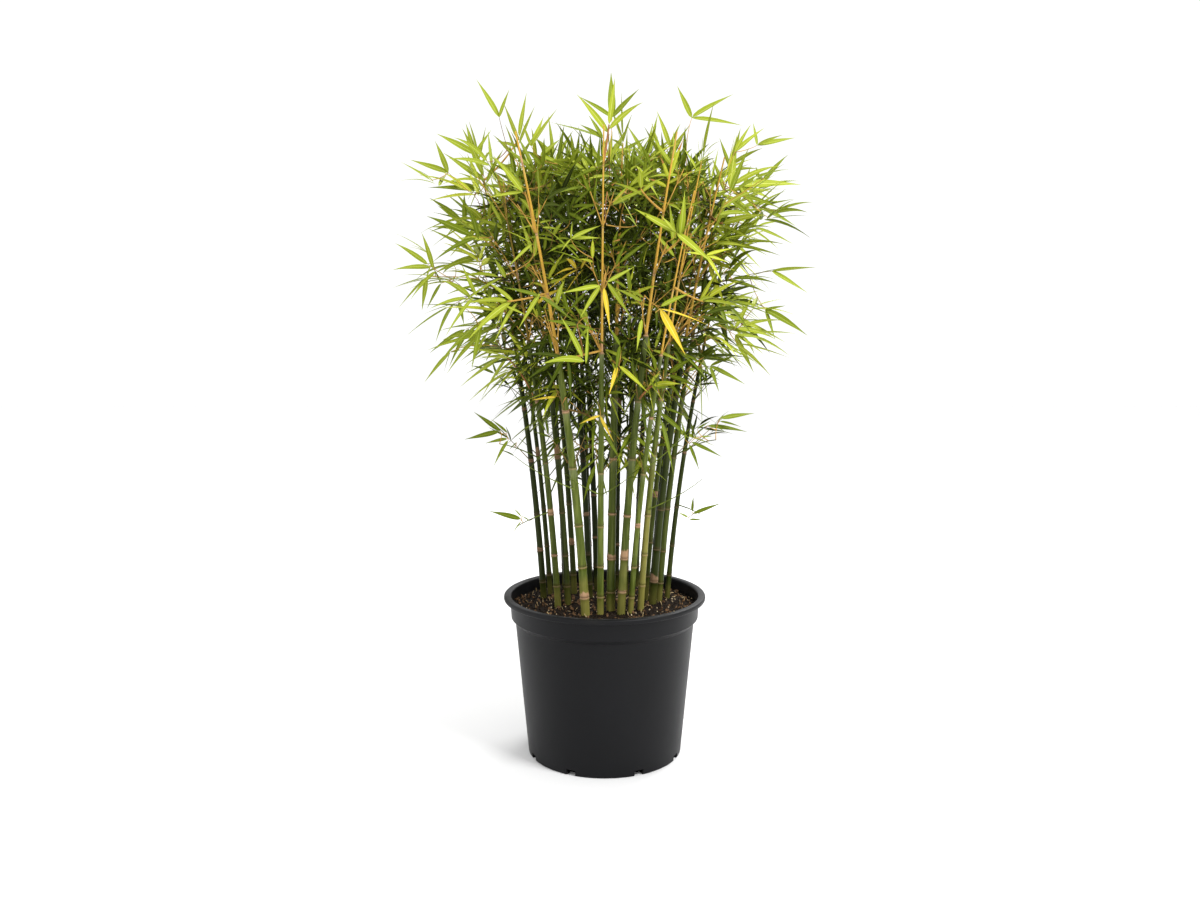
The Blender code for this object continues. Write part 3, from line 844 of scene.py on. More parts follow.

# %% [markdown]
# ### The colour of a cane
# The wall of a young cane is green with a waxy bloom. Sun turns it golden towards the top, where it is
# also thinnest, and a few old canes have yellowed from the foot. Each scar is a pale corky line with a
# dark edge, and the old sheath leaves a tan or salmon patch above some of them. Fine pale streaks run
# lengthwise; they are partly the cane's own and partly a painted highlight. The canes further back
# are painted a darker green, as painted shade. All of it is read from the values on the mesh and
# from noises stretched along the cane.


# %% Cane finish
# pairs of colours: for a dark cane and a pale one, or for the two ends of a noise
GREEN = ((0.011, 0.017, 0.002), (0.078, 0.104, 0.012))
# the pale streaks' colour: partly the cane's own streaks and partly a painted highlight
STREAK_AND_HIGHLIGHT = (0.160, 0.185, 0.038)
RIPE = ((0.57, 0.320, 0.048), (0.44, 0.280, 0.042))
BLOOM = (0.42, 0.44, 0.28)
YELLOWED = (0.34, 0.28, 0.075)
DRY_SHEATH = ((0.30, 0.13, 0.07), (0.66, 0.42, 0.27))
COLLAR = (0.052, 0.030, 0.012)
SCAR_RING = ((0.060, 0.040, 0.020), (0.27, 0.18, 0.085))
STREAK_STRETCH = (300.0, 300.0, 9.0)
CANE_GRAIN = 0.00018


def cane_finish():
    finish = Finish("culm")
    place = finish.place()
    streaks = finish.noise(finish.vector("MULTIPLY", place, STREAK_STRETCH), 1.0, 3.0)
    clouds = finish.noise(place, 24.0, 3.0)
    patchy = finish.noise(place, 130.0, 2.0)
    tint_and_shade, gold, scar, sheath, above, foot = (
        finish.attribute(name) for name in ("tint_and_shade", "gold", "scar", "sheath", "above", "foot")
    )
    # the tint mixes a chance tone with painted shade that darkens the canes further back
    green = finish.blend(tint_and_shade, *GREEN)
    # pale lengthwise streaks, strongest on the lighter canes: partly the cane's own and partly a
    # painted highlight
    green = finish.blend(finish.ramp(streaks, 0.42, 0.66) * tint_and_shade * 0.65, green, STREAK_AND_HIGHLIGHT)
    ripe = finish.blend(clouds, *RIPE)
    skin = finish.blend(finish.ramp(gold + (clouds - 0.5) * 0.5, 0.25, 0.75), green, ripe)
    skin = finish.blend(finish.ramp(above, 0.055, 0.078) * tint_and_shade * 0.2, skin, BLOOM)
    ageing = finish.ramp(foot + (clouds - 0.5) * 1.2, 0.35, 0.9)
    skin = finish.blend(ageing * (0.1 + tint_and_shade * 0.45), skin, YELLOWED)
    patch = finish.ramp(sheath + (patchy - 0.5) * 1.3, 0.40, 0.60)
    skin = finish.blend(patch * (0.35 + tint_and_shade * 0.5), skin, finish.blend(streaks, *DRY_SHEATH))
    skin = finish.blend(finish.ramp(above, 0.0005, 0.0060, 1.0, 0.0) * 0.6, skin, COLLAR)
    ring = finish.blend(tint_and_shade, *SCAR_RING)
    finish.set("Base Color", finish.blend(finish.ramp(scar, 0.15, 0.8) * 0.75, skin, ring))
    finish.set("Roughness", 0.26 + streaks * 0.12 + patch * 0.3 + scar * 0.3)
    finish.set("Specular IOR Level", 0.12)
    finish.bump(streaks + scar * 0.4, CANE_GRAIN)
    return finish.material


# %% Sweep the canes
FRONT_CANES_BEFORE = -0.03
BACK_GOLD = (0.35, 0.75)
SHEATH_SHARE = 0.34
SHEATH_HEIGHTS = (0.003, 0.026)
SHEATH_POWER = 2.5
SHEATH_START = 1.2
# how pale each cane is by the depth of its foot: canes further back are painted darker, as painted
# shade
PAINTED_SHADE_BY_DEPTH = ((-0.06, 0.72), (0.0, 0.26), (0.06, 0.04))
TINT_CHANCE = 0.26
OLD_FROM = 0.2
OLD_TINT = 0.9
# how far up each cane has yellowed from its foot
AGED = {number: 0.05 for number in range(1, len(CANES) + 1)} | {15: 0.34, 6: 0.10, 12: 0.12}
CANE_VALUES = ("thickness", "scar", "above", "gold", "tint_and_shade", "sheath", "foot", "run", "cane")
# a face that closes the ring has corners on both sides of the seam
SEAM_HIGH = 0.6
SEAM_LOW = 0.3
STRIP_START = 0.06
STRIP_SHARE = 0.88


def cane_values(cane, stations, rng):
    """The CANE_VALUES of each station."""
    depths, tints = zip(*PAINTED_SHADE_BY_DEPTH)
    tint_and_shade = float(np.interp(cane.foot[1], depths, tints)) + rng.uniform(-TINT_CHANCE, TINT_CHANCE)
    tint_and_shade = OLD_TINT if AGED[cane.number] > OLD_FROM else min(1.0, max(0.0, tint_and_shade))
    front = 1.0 if cane.foot[1] < FRONT_CANES_BEFORE else rng.uniform(*BACK_GOLD)
    low, high = SHEATH_HEIGHTS
    kept = [(joint, low + (high - low) * rng.random() ** SHEATH_POWER)
            for joint in cane.joints if rng.random() < SHEATH_SHARE]
    rows = []
    for up, thickness, nearness, above in stations:
        gold = front if up > cane.ripe_from else 0.0
        covered = [SHEATH_START - (up - joint) / tall
                   for joint, tall in kept if 0 <= up - joint < tall]
        foot = float(np.interp(up, (0.0, AGED[cane.number]), (1, 0)))
        run = (up + BELOW_SOIL) / (cane.height + BELOW_SOIL)
        rows.append((thickness, nearness, above, gold, tint_and_shade, max(covered, default=0.0), foot, run,
                     cane.number - 1))
    return rows


def cane_paths():
    rng = random.Random(SEED)
    paths, rows = [], []
    for cane in canes:
        stations = cane_stations(cane)
        paths.append([cane.at(up) if up > 0 else cane.foot + (0, 0, up) for up, *_ in stations])
        rows.extend(cane_values(cane, stations, rng))
    return path_mesh("canes", paths, dict(zip(CANE_VALUES, zip(*rows))))


def read(items, key, kind=np.int32):
    """One number of each item, as an array."""
    found = np.empty(len(items), kind)
    items.foreach_get(key, found)
    return found


def lay_out_strips(mesh, count):
    """A UV map in which each cane is one straight strip, so a bake keeps its streaks straight."""
    corners = read(mesh.loops, "vertex_index")
    run, around, cane = (
        read(mesh.attributes[name].data, "value", np.float32)[corners]
        for name in ("run", "around", "cane")
    )
    starts = read(mesh.polygons, "loop_start")
    totals = read(mesh.polygons, "loop_total")
    owner = np.repeat(np.arange(len(starts)), totals)
    highest = np.maximum.reduceat(around, starts)[owner]
    closes = (highest > SEAM_HIGH) & (around < SEAM_LOW) & (totals[owner] == 4)
    across = np.where(closes, around + 1, around)
    strip = (cane + STRIP_START + STRIP_SHARE * across) / count
    layer = mesh.uv_layers.new(name="OFBake")
    layer.data.foreach_set("uv", np.stack((run, strip), 1).ravel())


culm = cane_finish()
swept = sweep.grow("canes_in_relief", cane_paths(), Sides=CANE_SIDES, Material=culm)
lay_out_strips(swept.data, len(canes))
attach(swept, "root")
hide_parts(*[f"cane_{cane.number:02d}" for cane in canes])
print("canes:", triangles(swept), "triangles")

# %% [markdown]
# ## How the crown grows
# Twigs leave a cane at its joints, fork, and end in a fan of leaves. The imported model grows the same
# way with few large leaves: each mass of foliage has a heart and a spread, its stem starts at a joint,
# and each twig runs from the nearest wood to the emptiest spot. The rule is written again here, with
# the same hearts, so the stems start at the same joints. It is then carried on to many more twigs.

# %% The masses and their reach
# how far out leaves may stand at each height
CROWN_REACH = (
    (0.30, 0.170), (0.40, 0.195), (0.48, 0.225), (0.56, 0.265), (0.65, 0.298), (0.74, 0.290),
    (0.82, 0.272), (0.88, 0.240), (0.92, 0.215), (0.935, 0.170), (0.946, 0.060),
)
# name, how many, height, distance from the axis, first angle, spread
RINGS = (
    ("hanging_leaves", 2, 0.460, 0.070, 260, 0.100),
    ("lower_crown", 7, 0.540, 0.135, 245, 0.130),
    ("middle_crown", 8, 0.645, 0.172, 270, 0.140),
    ("upper_crown", 7, 0.745, 0.165, 285, 0.140),
    ("crown_heart", 2, 0.660, 0.040, 180, 0.120),
    ("crown_top", 3, 0.850, 0.088, 285, 0.135),
)
LOW_SPRAYS = (
    ((-0.118, -0.030, 0.327), 0.055),
    ((-0.142, -0.035, 0.440), 0.072),
    ((0.150, -0.030, 0.445), 0.078),
    ((0.132, 0.000, 0.338), 0.055),
)
HEART_LIFT = 0.016
STEM_RADIUS = 0.0017
SHORTEST_STEM = 0.03
STEM_RISE = 0.55
LOWEST_WAY = -0.02
STEM_STEPS = 24
LIMB_STEPS = 16
SETTLE_ROUNDS = 8
SETTLE_STEP = 0.15
SETTLE_LIFT = 0.04
SPACE_MARGIN = 0.0006
LIMB_CLEARANCE = 0.0010


def radius_at(height, table):
    """The radius between a table's rows of height and radius, 0 beyond its ends."""
    heights, radii = zip(*table)
    return np.interp(height, heights, radii, left=0, right=0)


def reach(height):
    return radius_at(height, CROWN_REACH)


class Limbs:
    """All the canes as straight pieces, to measure how far points lie from their surface."""

    def __init__(self):
        starts, ends, radii, owners = [], [], [], []
        for number, cane in enumerate(canes):
            heights = np.linspace(0, cane.height, LIMB_STEPS)
            for low, high in zip(heights, heights[1:]):
                starts.append(cane.at(low))
                ends.append(cane.at(high))
                radii.append(cane.thick(low))
                owners.append(number)
        self.starts = np.array(starts)
        self.along = np.array(ends) - self.starts
        self.radii = np.array(radii)
        self.owners = np.array(owners)
        self.squares = (self.along**2).sum(1)

    def clearance(self, points, leave_out=None):
        away = points[:, None, :] - self.starts[None]
        share = np.clip((away * self.along).sum(2) / self.squares, 0, 1)
        away -= share[:, :, None] * self.along
        distance = np.sqrt((away**2).sum(2)) - self.radii
        if leave_out is not None:
            distance[:, self.owners == leave_out] = 1
        return distance.min()


class Mass:
    """One mass of foliage: the space that it keeps to."""

    def __init__(self, name, heart, spread, low=False):
        self.name = name
        self.heart = np.array(heart)
        self.spread = spread
        self.low = low

    def inside(self, points, hearts, stem=False):
        """Which of the points lie within the crown's reach, and nearer this heart than others."""
        own = ((points - self.heart) ** 2).sum(1)
        good = np.hypot(points[:, 0], points[:, 1]) <= reach(points[:, 2])
        if not stem:
            good &= own <= self.spread**2
        others = hearts[np.abs(hearts - self.heart).sum(1) > 1e-6]
        apart = np.linalg.norm(others - self.heart, axis=1)
        away = ((points[:, None] - others[None]) ** 2).sum(2)
        return good & (((away - own[:, None]) / (2 * apart)).min(1) >= SPACE_MARGIN)


def plan_masses():
    masses = []
    for name, count, height, radius, first, spread in RINGS:
        for number in range(count):
            angle = math.radians(first + 360 * number / count)
            lift = HEART_LIFT * (-1) ** number
            heart = (radius * math.cos(angle), radius * math.sin(angle), height + lift)
            masses.append(Mass(f"{name}_{number + 1}", heart, spread))
    for number, (heart, spread) in enumerate(LOW_SPRAYS):
        masses.append(Mass(f"low_spray_{number + 1}", heart, spread, low=True))
    return masses


# %% Find the joint that each mass grows from
def find_root(mass, hearts):
    """(cane's number, joint's height) for the mass's stem: near, below it and with a clear way."""
    best = None
    for number, cane in enumerate(canes):
        for joint in cane.joints:
            on_cane = cane.at(joint)
            way = mass.heart - on_cane
            distance = np.linalg.norm(way)
            if distance < SHORTEST_STEM or way[2] < LOWEST_WAY:
                continue
            score = distance * (1 + abs(way[2] / distance - STEM_RISE))
            if best and score > best[0]:
                continue
            path = on_cane + way * np.linspace(0, 1, STEM_STEPS)[:, None]
            if not mass.inside(path, hearts, stem=True).all():
                continue
            if limbs.clearance(path, leave_out=number) > STEM_RADIUS + LIMB_CLEARANCE:
                best = (score, number, joint)
    return best and best[1:]


def settle(masses):
    """Moves a mass whose stem finds no clear way a little nearer to its cane, in a few rounds."""
    nodes = [cane.at(joint) for cane in canes for joint in cane.joints]
    for _ in range(SETTLE_ROUNDS):
        hearts = np.array([mass.heart for mass in masses])
        for mass in masses:
            if find_root(mass, hearts) is None:
                nearest = min(nodes, key=lambda node: np.linalg.norm(node - mass.heart))
                mass.heart = mass.heart + SETTLE_STEP * (nearest + (0, 0, SETTLE_LIFT) - mass.heart)


limbs = Limbs()
masses = plan_masses()
settle(masses)
hearts = np.array([mass.heart for mass in masses])
roots = [find_root(mass, hearts) for mass in masses]
print(len(masses), "masses,", sum(root is not None for root in roots), "with a clear way to a cane")

# %% [markdown]
# ### Twigs
# A real crown has hundreds of twigs. They fill it evenly, because a bud that gets no light dies. The
# rule copies that: of some chance spots the emptiest wins, and growth ends when no spot is more than
# a set distance from the last tips. A twig leaves its wood steeply and bends outwards, to the light.
# Each is a curve through three points: where it starts, a point behind its tip, and the tip.

# %% Twig rule
TIP_SPACING = 0.0300
HEART_SPACING = 0.0172
LOW_SPACING = 0.033
LOW_BELOW = 0.50
OUTER_FROM = 0.8
SPOTS = 16000
LONGEST_TWIG = 0.095
FRONT_SHARE = 0.66
HEART_LEAF = 0.54
RIM_LEAF = 1.28
SHORTEST_TWIG = 0.018
TWIG_STATIONS = 6
TWIG_THICK = 0.00064
TWIG_THIN = 0.00034
# how far out twig tips stand at each height; their leaves reach further
TIP_REACH = (
    (0.41, 0.080), (0.46, 0.105), (0.51, 0.122), (0.56, 0.148), (0.63, 0.170), (0.74, 0.182),
    (0.775, 0.184), (0.795, 0.170), (0.805, 0.135), (0.814, 0.040),
)
CROWN_MIDDLE = np.array((0.0, 0.0, 0.62))
LIGHT_SHAPE = (1, 1, 0.8)
LIGHT_LIFT = 0.05


def tip_reach(height):
    return radius_at(height, TIP_REACH)


def past_tip_reach(point):
    return math.hypot(point[0], point[1]) > tip_reach(point[2])


def within_tip_reach(points):
    """Which points twigs may reach. Towards the front they stop short, behind the golden canes."""
    away = np.hypot(points[:, 0], points[:, 1])
    forward = np.clip(-points[:, 1] / np.maximum(away, 1e-6), 0, 1)
    return away <= tip_reach(points[:, 2]) * (1 - (1 - FRONT_SHARE) * forward**2)


def outward(point):
    """The way to the light at a point of the crown."""
    way = (point - CROWN_MIDDLE) * LIGHT_SHAPE
    way[2] += LIGHT_LIFT
    return unit(way)


def jitter(rng, spread=1):
    """A chance vector."""
    return np.array([rng.gauss(0, spread) for _ in range(3)])


def square_to(axis, vector):
    """The part of a vector that stands square to an axis, as long as one."""
    return unit(vector - axis * vector.dot(axis))


class Growth:
    """All the twigs and leaves of the plant as they grow, and the points of wood and tips."""

    def __init__(self):
        self.twigs = []
        self.leaves = []
        self.wood = []
        self.tips = [np.array((0, 0, -1.0))]

    def add_twig(self, start, tip, heading, thick, thin, tone, pull=0.42):
        """A twig that ends at its tip in the direction heading; returns its points."""
        length = np.linalg.norm(tip - start)
        bend = tip - heading * length * pull
        t = np.linspace(0, 1, TWIG_STATIONS)[:, None]
        path = start * (1 - t) ** 2 + bend * 2 * t * (1 - t) + tip * t**2
        self.twigs.append((path, thick, thin, tone))
        self.wood.extend(path[2:])
        return path

    def drop_twig(self):
        path = self.twigs.pop()[0]
        del self.wood[len(self.wood) - len(path[2:]):]

    def room(self, spots):
        """For each spot the distance to the nearest tip."""
        tips = np.array(self.tips)
        return np.sqrt(((spots[:, None] - tips[None]) ** 2).sum(2)).min(1)


# %% [markdown]
# ### Fans of leaves
# At a twig's end the leaves stand in one plane, in turn to the left and right, with one at the tip.
# The lowest stand widest and are shortest. Blades turn their face to the light, and their own weight
# bends them. A leaf that would leave the crown's reach or cut a cane is tried again, smaller, and so
# is one that would stand in front of one of the six golden front canes, which stay in view.

# %% Leaf rule
LEAF_LENGTH = 0.066
LEAF_RATIO = 0.106
FAN_ANGLES = (0, 38, -38, 66, -66, 84)
FAN_SIZES = (1.0, 0.96, 0.90, 0.78, 0.72, 0.60)
LEAF_STEP = 0.0042
LEAF_SIZES = (1.0, 0.82, 0.66)
LEAF_SPREAD = (0.82, 1.12)
WIDTH_SPREAD = (0.85, 1.12)
FAN_COUNTS = (3, 4, 4, 5, 5, 6)
ANGLE_CHANCE = 9
CUPPED = (-0.16, 0.10)
TIP_STEP = 0.3
FACE_LIGHT = (0, -0.25, 0.6)
FACE_CHANCE = 1.1
BLADE_TURN = 0.22
DROOP = (0.04, 0.26)
UPRIGHT_DROOP = 0.35
SIDE_BEND = 0.05
BLADE_EDGE = 0.4
BLADE_CLEARANCE = 0.0008
SPINE_SHARES = np.array((0.12, 0.3, 0.55, 0.8, 1.0))[:, None]
BLADE_SHARES = np.linspace(0, 1, 11)[:, None]
SHOWN_CANES = (3, 6, 9, 12, 14, 17)
SHOWN_HALF = 0.0065


def from_the_front(points):
    """x and z of points as seen from the front, carried to a plane through the pot's axis."""
    scale = -CAMERA_PLACE[1] / (points[:, 1] - CAMERA_PLACE[1])
    x = CAMERA_PLACE[0] + (points[:, 0] - CAMERA_PLACE[0]) * scale
    z = CAMERA_PLACE[2] + (points[:, 2] - CAMERA_PLACE[2]) * scale
    return x, z


def shown_lines():
    """For each cane that stands clear in front: how far forward it is, and its line."""
    lines = []
    for cane in canes:
        if cane.number in SHOWN_CANES:
            path = np.array([cane.at(up) for up in np.linspace(cane.ripe_from, cane.height, 12)])
            lines.append((path[:, 1].mean(), *from_the_front(path)))
    return lines


def hides_a_cane(points):
    """True where a point of a blade stands in front of a cane that is to show."""
    x, z = from_the_front(points)
    for forward, line_x, line_z in golden_lines:
        near = np.abs(x - np.interp(z, line_z, line_x)) < SHOWN_HALF
        if (near & (z > line_z[0]) & (z < line_z[-1]) & (points[:, 1] < forward)).any():
            return True
    return False


golden_lines = shown_lines()


def leaf_fits(base, way, side, length, width, bend, margin=0.0, chosen=False):
    """True where the blade stays within reach, clear of the canes and out of the view of some."""
    spine = base + way * length * SPINE_SHARES + bend * SPINE_SHARES**2
    if (np.hypot(spine[:, 0], spine[:, 1]) > reach(spine[:, 2]) + margin).any():
        return False
    if not chosen and hides_a_cane(base + way * length * BLADE_SHARES + bend * BLADE_SHARES**2):
        return False
    edges = [spine[:4] + side * width * BLADE_EDGE, spine[:4] - side * width * BLADE_EDGE]
    return limbs.clearance(np.concatenate([spine, *edges])) > BLADE_CLEARANCE


def face_of_fan(heading, rng):
    """The way the fan's plane faces: square to its heading, towards the light or to one side."""
    light = outward(heading * 0.01 + CROWN_MIDDLE) + np.array(FACE_LIGHT)
    return square_to(heading, light + jitter(rng) * FACE_CHANCE)


def grow_fan(growth, tip, heading, rng, tone, size=1.0, count=None, withered=0.0):
    face = face_of_fan(heading, rng)
    side = np.cross(face, heading)
    count = count or rng.choice(FAN_COUNTS)
    hand = rng.choice((-1, 1))
    for number in range(count):
        chance = rng.uniform(-ANGLE_CHANCE, ANGLE_CHANCE)
        angle = math.radians(hand * FAN_ANGLES[number] + chance)
        way = heading * math.cos(angle) + side * math.sin(angle)
        way = unit(way + face * rng.uniform(*CUPPED))
        base = tip - heading * LEAF_STEP * (number + (TIP_STEP if number else 0))
        normal = unit(face + jitter(rng, BLADE_TURN))
        across = unit(np.cross(normal, way))
        full = LEAF_LENGTH * size * FAN_SIZES[number] * rng.uniform(*LEAF_SPREAD)
        for share in LEAF_SIZES:
            length = full * share
            droop = rng.uniform(*DROOP) * (UPRIGHT_DROOP + math.hypot(way[0], way[1]))
            aside = across * rng.uniform(-SIDE_BEND, SIDE_BEND)
            bend = length * (np.array((0, 0, -droop)) + aside)
            width = length * LEAF_RATIO * rng.uniform(*WIDTH_SPREAD)
            if leaf_fits(base, way, across, length, width, bend):
                growth.leaves.append((base, way, normal, bend, length, width, tone, withered))
                break


# %% [markdown]
# ### Colours dealt by spray
# Leaves at the top and the rim of the crown are lime and those inside are dark: these tones are painted
# light and shade. Some in the front have turned yellow, a few with a dry tip. Each spray gets one plain
# colour, by how far out and how high it stands and a little chance; low in the crown the difference is
# smaller. Twigs are golden where the sun reaches, and brown or green further in, partly painted shade.

# %% Tones
# from lime to shade the tones run from painted light to painted shade; sunny is painted sunlight, and
# yellow is the leaves' own colour
# name, blade colour, midrib colour
LEAF_TONES = {
    "lime": ((0.315, 0.370, 0.028), (0.500, 0.540, 0.120)),
    "fresh": ((0.250, 0.304, 0.021), (0.400, 0.450, 0.090)),
    "meadow": ((0.176, 0.226, 0.013), (0.300, 0.350, 0.060)),
    "leaf": ((0.114, 0.154, 0.007), (0.210, 0.256, 0.034)),
    "deep": ((0.047, 0.068, 0.003), (0.110, 0.140, 0.018)),
    "shade": ((0.016, 0.023, 0.001), (0.046, 0.062, 0.007)),
    "sunny": ((0.400, 0.440, 0.028), (0.580, 0.600, 0.120)),
    "yellow": ((0.640, 0.470, 0.035), (0.760, 0.640, 0.150)),
}
DRY_TIP = (0.42, 0.20, 0.06)
TWIG_TONES = {
    "golden": (0.570, 0.330, 0.068),
    "tan": (0.200, 0.128, 0.034),
    "russet": (0.330, 0.145, 0.050),
    "sprig": (0.130, 0.170, 0.022),
}


LOW_LIGHT_BELOW = 0.66
LOW_LIGHT = 0.70
LOW_LIGHT_SLOPE = 0.8
LIGHT_CHANCE = 0.18
LIGHT_BY_HEIGHT = ((0.40, 0.52, 0.62, 0.72, 0.80), (0.02, 0.02, -0.03, 0.05, 0.16))
YELLOW_BEFORE = -0.09
YELLOW_SHARE = 0.03
SUNNY_FROM = 0.72
SUNNY_SHARE = 0.10
TOP_FROM = 0.775
TOP_LIGHT = 0.78
TONE_EDGES = ((1.05, "lime"), (0.95, "fresh"), (0.86, "meadow"), (0.74, "leaf"), (0.52, "deep"))
RIM_MOST = 1.1
RIM_LEAST = 0.05
RIM_BELOW = 0.86
TOP_START = 0.60
TOP_DEPTH = 0.28
TWIG_CHANCE = 0.2
GOLDEN_FROM = 0.85
GOLDEN_BEFORE = -0.12
GOLDEN_SHARE = 0.8
TAN_FROM = 0.55


def how_far_out(point):
    """0 in the middle of the crown, 1 at its rim or top."""
    rim = max(RIM_LEAST, float(tip_reach(min(point[2], RIM_BELOW))))
    across = math.hypot(point[0], point[1]) / rim
    upwards = (point[2] - TOP_START) / TOP_DEPTH
    return max(min(across, RIM_MOST), upwards)


def pick_tone(point, rng):
    # light is painted light and shade: the tone is lighter the further out and the higher a spray
    # stands
    light = how_far_out(point)
    if point[2] < LOW_LIGHT_BELOW:
        light = LOW_LIGHT + (light - LOW_LIGHT) * LOW_LIGHT_SLOPE
    light += rng.gauss(0, LIGHT_CHANCE)
    light += float(np.interp(point[2], *LIGHT_BY_HEIGHT))
    if point[1] < YELLOW_BEFORE and rng.random() < YELLOW_SHARE:
        return "yellow"
    if light > SUNNY_FROM and rng.random() < SUNNY_SHARE:
        return "sunny"
    if point[2] > TOP_FROM:
        light = max(light, TOP_LIGHT)
    for edge, tone in TONE_EDGES:
        if light > edge:
            return tone
    return "shade"


def pick_twig_tone(point, rng):
    # golden outside and in front, tan and green further in: the darker twigs inside are partly painted
    # shade
    outer = how_far_out(point) + rng.gauss(0, TWIG_CHANCE)
    if outer > GOLDEN_FROM or point[1] < GOLDEN_BEFORE:
        return "golden" if rng.random() < GOLDEN_SHARE else "russet"
    return "tan" if outer > TAN_FROM else "sprig"


# %% Grow the masses
BUD_LIFT = 0.003
IN_SKIN = 0.6
STEM_TO_LIGHT = 0.4
STEM_THICK = 0.0016
LOW_STEM_THICK = 0.0010
STEM_TAPER = 0.56
STEM_PULL = 0.35
# a twig's heading: onwards from its fork, out to the light, and by chance
ONWARDS = 0.55
TO_LIGHT = 0.75
HEADING_CHANCE = 0.25
TWIG_CLEARANCE = 0.0004
RIM_POWER = 3
WITHERED_SHARE = 0.03
WITHERED = 0.25


def stem_of(growth, mass, root, rng):
    """The mass's stem, from inside its cane's skin to its heart, as points."""
    number, joint = root
    cane = canes[number]
    on_cane = cane.at(joint + BUD_LIFT)
    way = unit(mass.heart - on_cane)
    start = on_cane + square_to(cane.axis(joint), way) * cane.thick(joint) * IN_SKIN
    heading = unit(way + outward(mass.heart) * STEM_TO_LIGHT)
    tone = "sprig" if mass.low else pick_twig_tone(mass.heart, rng)
    thick = LOW_STEM_THICK if mass.low else STEM_THICK
    return growth.add_twig(start, mass.heart, heading, thick, thick * STEM_TAPER, tone, STEM_PULL)


class Spots:
    """Chance spots in a mass's own space, each with its room and its way to the nearest wood."""

    def __init__(self, mass, growth, rng):
        offsets = np.array([[rng.uniform(-1, 1) for _ in range(3)] for _ in range(SPOTS)])
        spots = mass.heart + offsets * mass.spread
        self.spots = spots[mass.inside(spots, hearts) & within_tip_reach(spots)]
        self.room = growth.room(self.spots)
        outer = np.array([how_far_out(spot) > OUTER_FROM for spot in self.spots])
        self.spacing = np.where(outer, TIP_SPACING, HEART_SPACING)
        self.spacing[self.spots[:, 2] < LOW_BELOW] = LOW_SPACING
        self.away = np.full(len(self.spots), np.inf)
        self.forks = np.zeros((len(self.spots), 3))

    def add_wood(self, points):
        for point in points:
            away = np.linalg.norm(self.spots - point, axis=1)
            nearer = away < self.away
            self.away[nearer] = away[nearer]
            self.forks[nearer] = point

    def add_tip(self, tip):
        self.room = np.minimum(self.room, np.linalg.norm(self.spots - tip, axis=1))

    def emptiest(self):
        """(wood, spot) for the next twig, or None where every spot within its reach is taken."""
        near = (self.away > SHORTEST_TWIG) & (self.away < LONGEST_TWIG)
        room = np.where(near, self.room / self.spacing, 0)
        best = room.argmax()
        if room[best] < 1:
            return None
        return self.forks[best].copy(), self.spots[best]


def grow_mass(growth, mass, root, rng):
    """Fills a mass with twigs, each from the nearest wood to the emptiest spot."""
    stem = stem_of(growth, mass, root, rng)
    heading = unit(unit(stem[-1] - stem[-2]) + outward(mass.heart))
    grow_fan(growth, mass.heart, heading, rng, pick_tone(mass.heart, rng))
    growth.tips.append(mass.heart)
    spots = Spots(mass, growth, rng)
    spots.add_wood(stem[2:])
    while len(spots.spots):
        found = spots.emptiest()
        if found is None:
            break
        fork, spot = found
        growth.tips.append(spot)
        spots.add_tip(spot)
        heading = unit(spot - fork) * ONWARDS + outward(spot) * TO_LIGHT
        heading = unit(heading + jitter(rng, HEADING_CHANCE))
        tone = pick_twig_tone(spot, rng)
        path = growth.add_twig(fork, spot, heading, TWIG_THICK, TWIG_THIN, tone)
        if limbs.clearance(path[1:]) < TWIG_THICK + TWIG_CLEARANCE:
            growth.drop_twig()
            continue
        spots.add_wood(path[2:5])
        size = HEART_LEAF + (RIM_LEAF - HEART_LEAF) * min(1.0, how_far_out(spot)) ** RIM_POWER
        withered = WITHERED if rng.random() < WITHERED_SHARE else 0.0
        grow_fan(growth, spot, heading, rng, pick_tone(spot, rng), size, withered=withered)


growth = Growth()
for number, (mass, root) in enumerate(zip(masses, roots)):
    if root is not None and not mass.low:
        grow_mass(growth, mass, root, random.Random(SEED * 100 + number))
print(len(growth.twigs), "twigs,", len(growth.leaves), "leaves in the crown")

# %% [markdown]
# ### Twigs at the canes' own joints
# The joints inside the crown carry steep thin golden twigs that fork once more. They show best in front
# of the dark heart of the crown, so they are grown on their own, two or three to a joint, at twenty to
# forty degrees to the cane. A fan of leaves ends each cane that the crown hides.

# %% Joint twigs and cane tips
JOINT_TWIGS_FROM = 0.50
JOINT_TWIG_COUNTS = (2, 2, 3, 3)
JOINT_TWIG_LENGTH = (0.035, 0.075)
JOINT_TWIG_ANGLE = (20, 38)
JOINT_TWIG_THICK = 0.00082
JOINT_TWIG_THIN = 0.0005
JOINT_TWIG_CLEARANCE = 0.0012
JOINT_TO_LIGHT = 0.6
JOINT_LIFT = 0.002
JOINT_DEPTH = 0.5
FORK_LENGTH = (0.018, 0.036)
FORK_SPREAD = (0.4, 0.8)
FORK_OUT = 0.25
FORK_THICK = 0.0006
FORK_LEAF = 0.85
TIP_LEAF = 0.9
TIP_LIFT = 0.01


